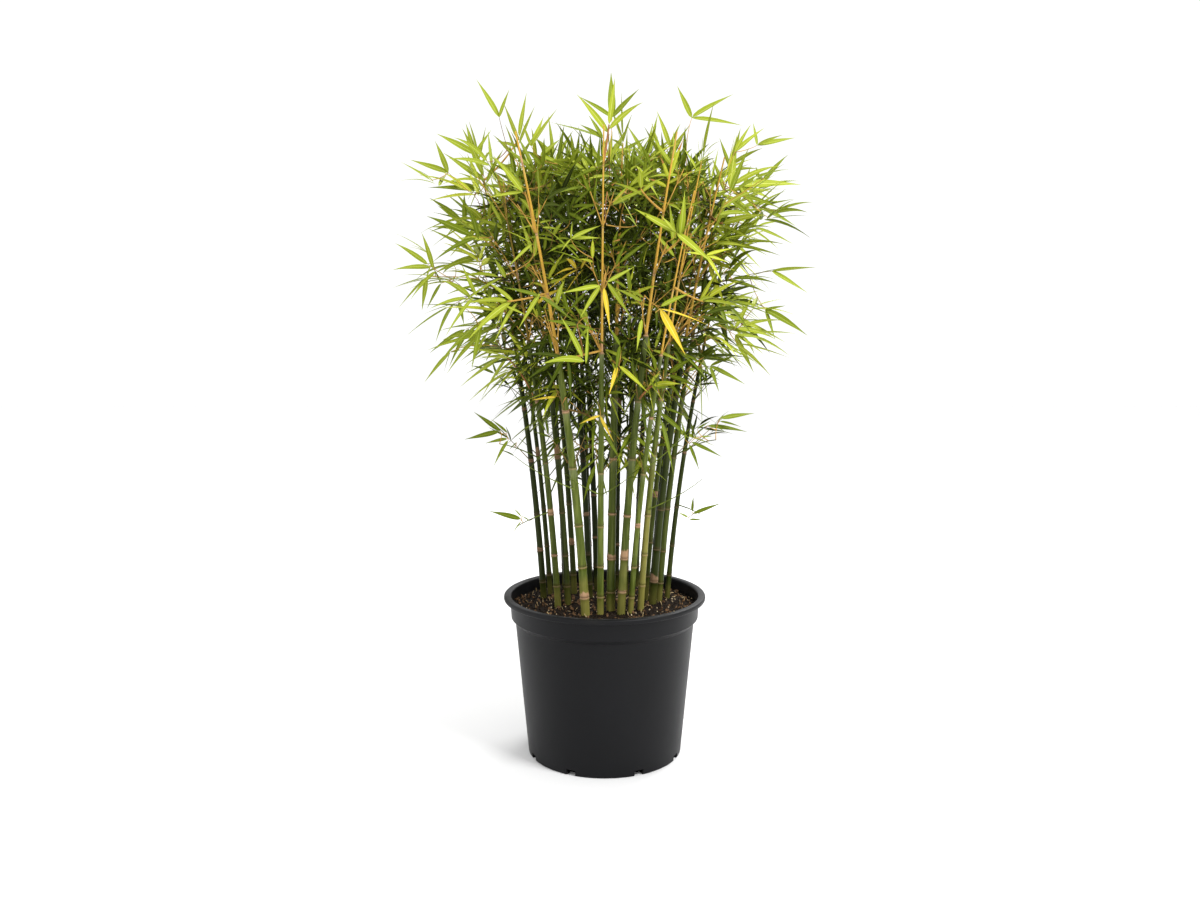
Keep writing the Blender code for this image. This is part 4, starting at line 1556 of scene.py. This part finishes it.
def grow_joint_twigs(growth, cane, rng):
    for joint in cane.joints:
        start = cane.at(joint + JOINT_LIFT)
        if start[2] < JOINT_TWIGS_FROM:
            continue
        axis = cane.axis(joint)
        for _ in range(rng.choice(JOINT_TWIG_COUNTS)):
            square = square_to(axis, unit(jitter(rng) + outward(start) * JOINT_TO_LIGHT))
            angle = math.radians(rng.uniform(*JOINT_TWIG_ANGLE))
            heading = unit(axis * math.cos(angle) + square * math.sin(angle))
            tip = start + heading * rng.uniform(*JOINT_TWIG_LENGTH)
            free = start + (tip - start) * np.linspace(0.4, 1, 6)[:, None]
            if past_tip_reach(tip) or limbs.clearance(free) < JOINT_TWIG_CLEARANCE:
                continue
            base = start + square * cane.thick(joint) * JOINT_DEPTH
            tone = "golden" if cane.foot[1] < 0 else pick_twig_tone(tip, rng)
            path = growth.add_twig(base, tip, heading, JOINT_TWIG_THICK, JOINT_TWIG_THIN, tone)
            growth.tips.append(tip)
            fork = path[3]
            side = unit(np.cross(heading, square))
            for hand in (-1, 1):
                spread = rng.uniform(*FORK_SPREAD)
                end_way = unit(heading + side * hand * spread + square * FORK_OUT)
                end = fork + end_way * rng.uniform(*FORK_LENGTH)
                if past_tip_reach(end):
                    continue
                growth.add_twig(fork, end, end_way, FORK_THICK, TWIG_THIN, tone)
                tint_and_shade = pick_tone(end, rng)
                grow_fan(growth, end, end_way, rng, tint_and_shade, FORK_LEAF, rng.choice((2, 3, 4)))


for cane in canes:
    grow_joint_twigs(growth, cane, random.Random(SEED * 300 + cane.number))
    if cane.number not in SHOWN_CANES:
        heading = cane.axis(cane.height)
        end = cane.at(cane.height) + heading * TIP_LIFT
        grow_fan(growth, end, heading, random.Random(cane.number), "fresh", TIP_LEAF, 4)
print(len(growth.twigs), "twigs,", len(growth.leaves), "leaves")

# %% [markdown]
# ### Sprays that stand alone
# Round the rim and in front of the canes, single sprays stand clear of the crown, and the eye reads
# each of them. The ones in front are written down: where the fan starts, its colour, and for each
# leaf its lean from straight up (positive to the right) and its length as seen from the front. More
# are dealt out all round by a seeded rule. A twig joins every spray to the nearest wood.

# %% Sprays at the rim and in front
RIM_SPRAYS = (
    ((-0.136, -0.050, 0.864), "fresh", ((-29, 0.061), (20, 0.038))),
    ((-0.170, -0.030, 0.821), "fresh", ((-15, 0.047), (-59, 0.060), (33, 0.042))),
    ((-0.093, -0.080, 0.823), "lime", ((36, 0.059), (-20, 0.032), (22, 0.045))),
    ((0.009, -0.050, 0.864), "meadow", ((-2, 0.064), (-53, 0.053), (44, 0.050))),
    ((-0.003, -0.100, 0.830), "meadow", ((-29, 0.038), (-55, 0.036), (-75, 0.067))),
    ((0.113, -0.030, 0.867), "fresh", ((-29, 0.046), (56, 0.067), (97, 0.066))),
    ((0.082, -0.080, 0.822), "lime", ((-20, 0.049), (20, 0.033))),
    ((0.171, -0.020, 0.825), "lime", ((27, 0.045), (46, 0.055))),
    ((0.203, 0.000, 0.837), "fresh", ((-8, 0.034), (65, 0.036), (76, 0.057))),
    ((0.181, 0.000, 0.785), "lime", ((83, 0.086), (109, 0.051), (145, 0.053))),
    ((0.211, 0.020, 0.758), "meadow", ((75, 0.046), (110, 0.058))),
    ((0.229, 0.020, 0.672), "fresh", ((83, 0.062), (117, 0.060))),
    ((0.218, 0.000, 0.620), "meadow", ((117, 0.063), (163, 0.041), (79, 0.028))),
    ((0.175, -0.020, 0.586), "fresh", ((93, 0.044), (117, 0.047), (151, 0.055))),
    ((0.144, 0.000, 0.543), "meadow", ((114, 0.057), (64, 0.044), (162, 0.036))),
    ((-0.241, 0.000, 0.663), "fresh", ((-103, 0.055), (-131, 0.057), (18, 0.024), (-168, 0.043))),
    ((-0.222, 0.000, 0.655), "meadow", ((-27, 0.026), (-151, 0.038))),
    ((-0.211, 0.000, 0.562), "fresh", ((-136, 0.053), (73, 0.019), (-160, 0.029))),
    ((-0.181, 0.000, 0.726), "fresh", ((-79, 0.057), (-50, 0.062))),
    ((-0.208, -0.010, 0.800), "fresh", ((-70, 0.058), (-20, 0.050))),
    ((-0.169, 0.020, 0.781), "meadow", ((-70, 0.058), (-85, 0.070))),
)
FRONT_SPRAYS = (
    ((-0.078, -0.170, 0.638), "lime", ((-148, 0.049),)),
    ((-0.006, -0.190, 0.646), "lime", ((-144, 0.045), (-98, 0.048))),
    ((-0.002, -0.190, 0.644), "yellow", ((169, 0.048),)),
    ((0.002, -0.190, 0.650), "fresh", ((142, 0.048), (60, 0.040))),
    ((0.065, -0.180, 0.619), "yellow", ((148, 0.060), (104, 0.062))),
    ((0.066, -0.178, 0.622), "fresh", ((61, 0.041),)),
    ((0.015, -0.130, 0.549), "yellow", ((-164, 0.036),)),
    ((0.017, -0.130, 0.549), "sunny", ((129, 0.050),)),
    ((-0.006, -0.110, 0.485), "yellow", ((154, 0.038), (-110, 0.030))),
    ((-0.063, -0.100, 0.508), "yellow", ((-95, 0.032), (118, 0.026))),
    ((-0.087, -0.170, 0.696), "lime", ((-130, 0.041), (-61, 0.046))),
    ((-0.041, -0.170, 0.702), "lime", ((5, 0.022), (64, 0.040), (84, 0.036), (-139, 0.020))),
    ((0.009, -0.150, 0.744), "fresh", ((64, 0.051), (35, 0.032))),
    ((0.085, -0.160, 0.710), "lime", ((-40, 0.030), (128, 0.058), (-58, 0.062))),
    ((0.090, -0.160, 0.706), "fresh", ((5, 0.056), (38, 0.052))),
    ((0.038, -0.120, 0.794), "lime", ((142, 0.050), (-125, 0.027))),
    ((-0.100, -0.140, 0.760), "lime", ((-36, 0.058), (-60, 0.052), (-96, 0.044))),
    ((-0.078, -0.170, 0.634), "leaf", ((-73, 0.048), (121, 0.049))),
    ((-0.034, -0.170, 0.600), "leaf", ((102, 0.028), (-154, 0.033), (147, 0.033), (-80, 0.040))),
    ((0.044, -0.170, 0.607), "lime", ((-169, 0.038),)),
    ((0.018, -0.150, 0.575), "leaf", ((-28, 0.030), (-172, 0.034))),
    ((-0.124, -0.120, 0.623), "lime", ((-151, 0.034), (113, 0.030))),
    ((0.124, -0.130, 0.685), "sunny", ((71, 0.037), (148, 0.038), (-77, 0.028), (104, 0.030))),
    ((-0.081, -0.100, 0.809), "fresh", ((48, 0.036), (108, 0.039))),
)
BROAD_RATIO = 0.138
SIDE_TURN = 0.38
FURTHEST_WOOD = 0.14
STEP_IN = 0.015
SPRAY_MARGIN = 0.022
SPRAY_TO_LIGHT = 0.3
SPRAY_FACE = (-0.75, 0.55)
SPRAY_TURN = 0.3
SPRAY_DROOP = (0.03, 0.10)
SPRAY_WIDTH = (0.85, 1.1)
JOIN_ALONG = 0.6
DEPTH_SHAPE = np.array((1.0, 1.0, 0.6))
STRAYS = 84
STRAY_HEIGHTS = (0.545, 0.835)
STRAY_OUT = (0.008, 0.068)
STRAY_CHANCE = 0.35
STRAY_TONES = ("lime", "fresh", "fresh", "meadow", "meadow", "leaf")
# in front of this, two strays of three are left out
FEW_STRAYS_BEFORE = -0.12
GOLDEN_ANGLE = 2.39996


def join_to_wood(growth, base, heading, tone, shortest=SHORTEST_TWIG, step_in=STEP_IN):
    """A thin twig to base from the nearest wood further in, not too near and not too far."""
    wood = np.array(growth.wood)
    away = np.linalg.norm(wood - base, axis=1)
    depth = np.linalg.norm((wood - CROWN_MIDDLE) * DEPTH_SHAPE, axis=1)
    outer = depth > np.linalg.norm((base - CROWN_MIDDLE) * DEPTH_SHAPE) - step_in
    away[(away < shortest) | outer] = np.inf
    nearest = away.argmin()
    if away[nearest] > FURTHEST_WOOD:
        return False
    way = unit(unit(base - wood[nearest]) + heading * JOIN_ALONG)
    growth.add_twig(wood[nearest], base, way, TWIG_THICK, TWIG_THIN, tone)
    return True


def place_spray(growth, base, tone, leaves, rng, **joint):
    """A spray given leaf by leaf, seen from the front."""
    base = np.array(base)
    ways = []
    for lean, seen in leaves:
        depth = rng.uniform(-SIDE_TURN, SIDE_TURN)
        flat = math.sqrt(1 - depth**2)
        lean = math.radians(lean)
        ways.append((np.array((math.sin(lean) * flat, depth, math.cos(lean) * flat)), seen / flat))
    heading = unit(sum(way for way, _ in ways) + outward(base) * SPRAY_TO_LIGHT)
    join_to_wood(growth, base, heading, pick_twig_tone(base, rng), **joint)
    for way, length in ways:
        turn = rng.gauss(0, SPRAY_TURN)
        forward = SPRAY_FACE[0] + rng.gauss(0, SPRAY_TURN)
        normal = unit(np.array((turn, forward, SPRAY_FACE[1])))
        across = unit(np.cross(normal, way))
        droop = np.array((0, 0, -rng.uniform(*SPRAY_DROOP)))
        bend = length * (droop + across * rng.uniform(-SIDE_BEND, SIDE_BEND))
        width = length * BROAD_RATIO * rng.uniform(*SPRAY_WIDTH)
        if leaf_fits(base, way, across, length, width, bend, SPRAY_MARGIN, chosen=True):
            growth.leaves.append((base, way, normal, bend, length, width, tone, 0.0))


def grow_strays(growth, rng):
    """Sprays just past the twigs' reach, all round the crown."""
    for number in range(STRAYS):
        angle = number * GOLDEN_ANGLE
        height = rng.uniform(*STRAY_HEIGHTS)
        away = float(tip_reach(height)) + rng.uniform(*STRAY_OUT)
        base = np.array((away * math.cos(angle), away * math.sin(angle), height))
        if base[1] < FEW_STRAYS_BEFORE and number % 3:
            continue
        heading = unit(outward(base) + jitter(rng, STRAY_CHANCE))
        if join_to_wood(growth, base, heading, pick_twig_tone(base, rng)):
            tone = rng.choice(STRAY_TONES)
            grow_fan(growth, base, heading, rng, tone, 1.0, rng.choice((2, 3, 3, 4)))


for number, (base, tone, leaves) in enumerate(RIM_SPRAYS + FRONT_SPRAYS):
    place_spray(growth, base, tone, leaves, random.Random(SEED * 700 + number))
grow_strays(growth, random.Random(SEED * 900))
print(len(growth.twigs), "twigs,", len(growth.leaves), "leaves with the single sprays")

# %% [markdown]
# ## Low sprays and low twigs
# Four single sprays stand out low on the outer canes, each on its own thin twig. Their leaves are
# set one by one, because each shows against the open ground behind it. Below the crown a culm also
# keeps a few short side twigs, most of them bare, so some joints there get one by chance.


# %% Low sprays
SHORT_STALK = 0.003
# for each leaf: its foot (x, height), its lean from straight up and its length seen from the front
LOW_LEAVES = {
    "low_spray_1": (
        (-0.114, 0.336, -77, 0.048), (-0.114, 0.333, -141, 0.020), (-0.114, 0.340, -43, 0.016),
        (-0.103, 0.334, -48, 0.016),
    ),
    "low_spray_2": (
        (-0.140, 0.457, -55, 0.047), (-0.131, 0.455, -45, 0.030), (-0.142, 0.457, -103, 0.048),
        (-0.131, 0.447, -99, 0.032), (-0.130, 0.445, -146, 0.038), (-0.119, 0.442, -133, 0.014),
    ),
    "low_spray_3": (
        (0.156, 0.474, 80, 0.049), (0.154, 0.472, 39, 0.012), (0.125, 0.460, 56, 0.021),
        (0.139, 0.464, 95, 0.056), (0.135, 0.459, 97, 0.042), (0.155, 0.470, 99, 0.030),
        (0.131, 0.449, 85, 0.016), (0.117, 0.442, 113, 0.045), (0.114, 0.439, 155, 0.038),
        (0.109, 0.445, -11, 0.032),
    ),
    "low_spray_4": (
        (0.123, 0.338, 66, 0.043), (0.122, 0.341, -1, 0.026), (0.116, 0.333, -57, 0.018),
        (0.118, 0.330, 87, 0.020),
    ),
}
# bare twigs in front of the canes: the cane, the height where the twig leaves it, and its tip
BARE_TWIGS = (
    (6, 0.385, (-0.118, -0.085, 0.430)),
    (9, 0.378, (-0.042, -0.092, 0.401)),
    (9, 0.378, (0.034, -0.092, 0.406)),
    (14, 0.411, (0.101, -0.075, 0.455)),
    (15, 0.354, (0.129, -0.070, 0.398)),
)
BARE_TWIG_DEPTH = 0.8
BARE_TWIG_LIFT = (0, 0, 0.25)
BARE_TWIG_THICK = 0.0009
BARE_TWIG_LEAF = 0.35
# thin side twigs at joints below the crown, most of them bare
LOW_TWIG_HEIGHTS = (0.35, 0.54)
LOW_TWIG_SHARE = 0.45
LOW_TWIG_TRIES = 3
LOW_TWIG_LENGTH = (0.022, 0.070)
LOW_TWIG_SPREAD = (0.5, 1.1)
LOW_TWIG_CLEARANCE = 0.0015
LOW_TWIG_THICK = 0.0008
LEAFY_SHARE = 0.6
LOW_TWIG_LEAF = 0.55


def grow_bare_twig(growth, number, height, tip, rng):
    cane = canes[number - 1]
    start = cane.at(height - cane.foot[2]) - (0, cane.radius * BARE_TWIG_DEPTH, 0)
    tip = np.array(tip)
    heading = unit(unit(tip - start) + np.array(BARE_TWIG_LIFT))
    growth.add_twig(start, tip, heading, BARE_TWIG_THICK, TWIG_THIN, "sprig")
    # a dark tone for these low leaves, as painted shade below the crown
    grow_fan(growth, tip, heading, rng, "deep", BARE_TWIG_LEAF, rng.choice((1, 2)))


def grow_low_spray(growth, mass, root, rng):
    stem_of(growth, mass, root, rng)
    for x, height, lean, seen in LOW_LEAVES[mass.name]:
        base = (x, mass.heart[1], height)
        tone = rng.choice(("meadow", "leaf", "leaf"))
        place_spray(growth, base, tone, ((lean, seen),), rng, shortest=SHORT_STALK, step_in=-1.0)


def grow_low_twigs(growth, cane, rng):
    for joint in np.repeat(cane.joints, LOW_TWIG_TRIES):
        start = cane.at(joint + JOINT_LIFT)
        low, high = LOW_TWIG_HEIGHTS
        if not low < start[2] < high or rng.random() > LOW_TWIG_SHARE:
            continue
        axis = cane.axis(joint)
        square = square_to(axis, unit(jitter(rng) + outward(start) * (1, 1, 0)))
        heading = unit(axis + square * rng.uniform(*LOW_TWIG_SPREAD))
        tip = start + heading * rng.uniform(*LOW_TWIG_LENGTH)
        path = start + (tip - start) * np.linspace(0.35, 1, 6)[:, None]
        if limbs.clearance(path, leave_out=cane.number - 1) < LOW_TWIG_CLEARANCE:
            continue
        tone = rng.choice(("tan", "sprig"))
        base = start + square * cane.thick(joint) * JOINT_DEPTH
        growth.add_twig(base, tip, heading, LOW_TWIG_THICK, TWIG_THIN, tone)
        if rng.random() < LEAFY_SHARE:
            # leaves low under the crown take the dark tones, as painted shade
            tone = rng.choice(("shade", "deep", "leaf"))
            grow_fan(growth, tip, heading, rng, tone, LOW_TWIG_LEAF, rng.choice((1, 2, 3)))


for number, (mass, root) in enumerate(zip(masses, roots)):
    if mass.low and root is not None:
        grow_low_spray(growth, mass, root, random.Random(SEED * 500 + number))
for number, twig in enumerate(BARE_TWIGS):
    grow_bare_twig(growth, *twig, random.Random(SEED * 550 + number))
for cane in canes:
    grow_low_twigs(growth, cane, random.Random(SEED * 600 + cane.number))
print(len(growth.leaves), "leaves with the low sprays and twigs")

# %% [markdown]
# ### Sweeping the twigs
# The same sweep that drew the canes draws the twigs, with five sides each. Twigs of one tone are one
# piece.

# %% Twig pieces
TWIG_SIDES = 5
TWIG_SHADE = 0.55
foliage_nodes = [mass.name for mass in masses]


def twig_finish(name, colour):
    finish = Finish(name, 0.55)
    mottle = finish.noise(finish.place(), 90.0, 2.0)
    darker = tuple(TWIG_SHADE * part for part in colour)
    finish.set("Base Color", finish.blend(finish.ramp(mottle, 0.3, 0.7), darker, colour))
    finish.set("Roughness", 0.45 + mottle * 0.2)
    finish.set("Specular IOR Level", 0.1)
    return finish.material


def twig_piece(tone):
    name = "twigs_" + tone
    paths, thickness = [], []
    for path, thick, thin, found in growth.twigs:
        if found == tone:
            paths.append(path)
            thickness.extend(np.linspace(thick, thin, len(path)))
    mesh = path_mesh(name, paths, {"thickness": thickness})
    cover = twig_finish("twig_" + tone, TWIG_TONES[tone])
    return sweep.grow(name, mesh, Sides=TWIG_SIDES, Material=cover)


for tone in TWIG_TONES:
    piece = twig_piece(tone)
    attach(piece, "root")
    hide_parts(*foliage_nodes)
    print(piece.name, triangles(piece), "triangles")

# %% [markdown]
# ### The blade
# A bamboo leaf is a narrow blade, widest a third of the way up, drawn out to a long point, and folded
# a little along a pale midrib. Geometry Nodes make it from a grid of eight by four points: one sum
# gives the outline, another lifts the edges. The grid is placed on every leaf's point, turned to its
# heading and face, made real, and only then bent, so that no two leaves curve alike.


# %% Leaf grower
EARLY_POINTS = 1.25
OUTLINE_RISE = 0.62
OUTER_ROW = 0.3
SAME_ROW = 0.0005
DRY_FROM = 0.985


def leaf_grower():
    """One blade is drawn from a grid, set on each point, turned, stretched and bent."""
    tree = Grower("leaf_blades")
    points = tree.take("Leaves", "Geometry")
    stations = tree.take("Stations along", "Int", 8)
    widest = tree.take("Widest at", "Float", 0.30)
    fold = tree.take("Fold", "Float", 0.30)
    rib = tree.take("Midrib share", "Float", 0.10)
    blade_cover = tree.take("Blade", "Material")
    rib_cover = tree.take("Midrib", "Material")
    tip_cover = tree.take("Dry tip", "Material")
    grid = tree.node(
        "GeometryNodeMeshGrid", None,
        {"Size X": 1.0, "Size Y": 1.0, "Vertices X": stations, "Vertices Y": 4},
    )
    here = tree.node("GeometryNodeInputPosition")
    grid_x, grid_y = (tree.part(here, axis) for axis in "XY")
    along = (grid_x + 0.5).math("MAXIMUM", 0.0) ** EARLY_POINTS
    outer = abs(grid_y).math("GREATER_THAN", OUTER_ROW)
    across = grid_y.math("SIGN") * (rib + (1 - rib) * outer)
    fall = OUTLINE_RISE * (1 - widest) / widest
    to_tip = ((1 - along) / (1 - widest)).math("MAXIMUM", 0.0)
    half = (along / widest) ** OUTLINE_RISE * to_tip ** fall * 0.5
    lift = fold * abs(across) * half
    outline = tree.node("ShaderNodeCombineXYZ", None, {"X": along, "Y": across * half, "Z": lift})
    flat = tree.node("GeometryNodeSetPosition", None, {"Geometry": grid, "Position": outline})
    blade = tree.node("GeometryNodeMergeByDistance", None, {"Geometry": flat, "Distance": SAME_ROW})
    blade = tree.store(blade, "along", grid_x)
    blade = tree.paint(blade, blade_cover)
    blade = tree.paint(blade, rib_cover, abs(grid_y).math("LESS_THAN", SAME_ROW))
    turn = tree.node(
        "FunctionNodeAxesToRotation", {"primary_axis": "X", "secondary_axis": "Z"},
        {"Primary Axis": tree.named("heading", "FLOAT_VECTOR"),
         "Secondary Axis": tree.named("face", "FLOAT_VECTOR")},
    )
    width = tree.named("width")
    size = tree.node(
        "ShaderNodeCombineXYZ", None, {"X": tree.named("length"), "Y": width, "Z": width}
    )
    placed = tree.node(
        "GeometryNodeInstanceOnPoints", None,
        {"Points": points, "Instance": blade, "Rotation": turn, "Scale": size},
    )
    real = tree.node("GeometryNodeRealizeInstances", None, {"Geometry": placed})
    drawn = tree.named("along")
    push = tree.scaled(tree.named("bend", "FLOAT_VECTOR"), drawn * drawn)
    bent = tree.node("GeometryNodeSetPosition", None, {"Geometry": real, "Offset": push})
    dry = (drawn + tree.named("withered")).math("GREATER_THAN", DRY_FROM)
    tree.end(tree.paint(bent, tip_cover, dry))
    return tree


# %% Leaf pieces, one for each tone
# a leaf was kept as its foot, heading, face, bend, length, width, tone and dryness
LEAF_TONE = 6


def plain_finish(name, colour, roughness=0.45):
    finish = Finish(name, roughness, colour)
    finish.set("Specular IOR Level", 0.08)
    return finish.material


def leaf_piece(tone):
    """All the leaves of one tone: a point for each, with its values, grown into blades."""
    name = "leaves_" + tone
    leaves = [leaf for leaf in growth.leaves if leaf[LEAF_TONE] == tone]
    bases, headings, faces, bends, lengths, widths, _, withered = zip(*leaves)
    mesh = point_mesh(name, bases)
    for key, found in (("heading", headings), ("face", faces), ("bend", bends)):
        add_values(mesh, key, found, "FLOAT_VECTOR")
    for key, found in (("length", lengths), ("width", widths), ("withered", withered)):
        add_values(mesh, key, found)
    blade, rib = LEAF_TONES[tone]
    return leaf_maker.grow(
        name, mesh, Blade=plain_finish("leaf_" + tone, blade),
        Midrib=plain_finish("midrib_" + tone, rib), Dry_tip=dry_tip,
    )


leaf_maker = leaf_grower()
dry_tip = plain_finish("dry_leaf", DRY_TIP, 0.7)
for tone in LEAF_TONES:
    piece = leaf_piece(tone)
    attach(piece, "root")
    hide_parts(*foliage_nodes)
    print(piece.name, triangles(piece), "triangles")
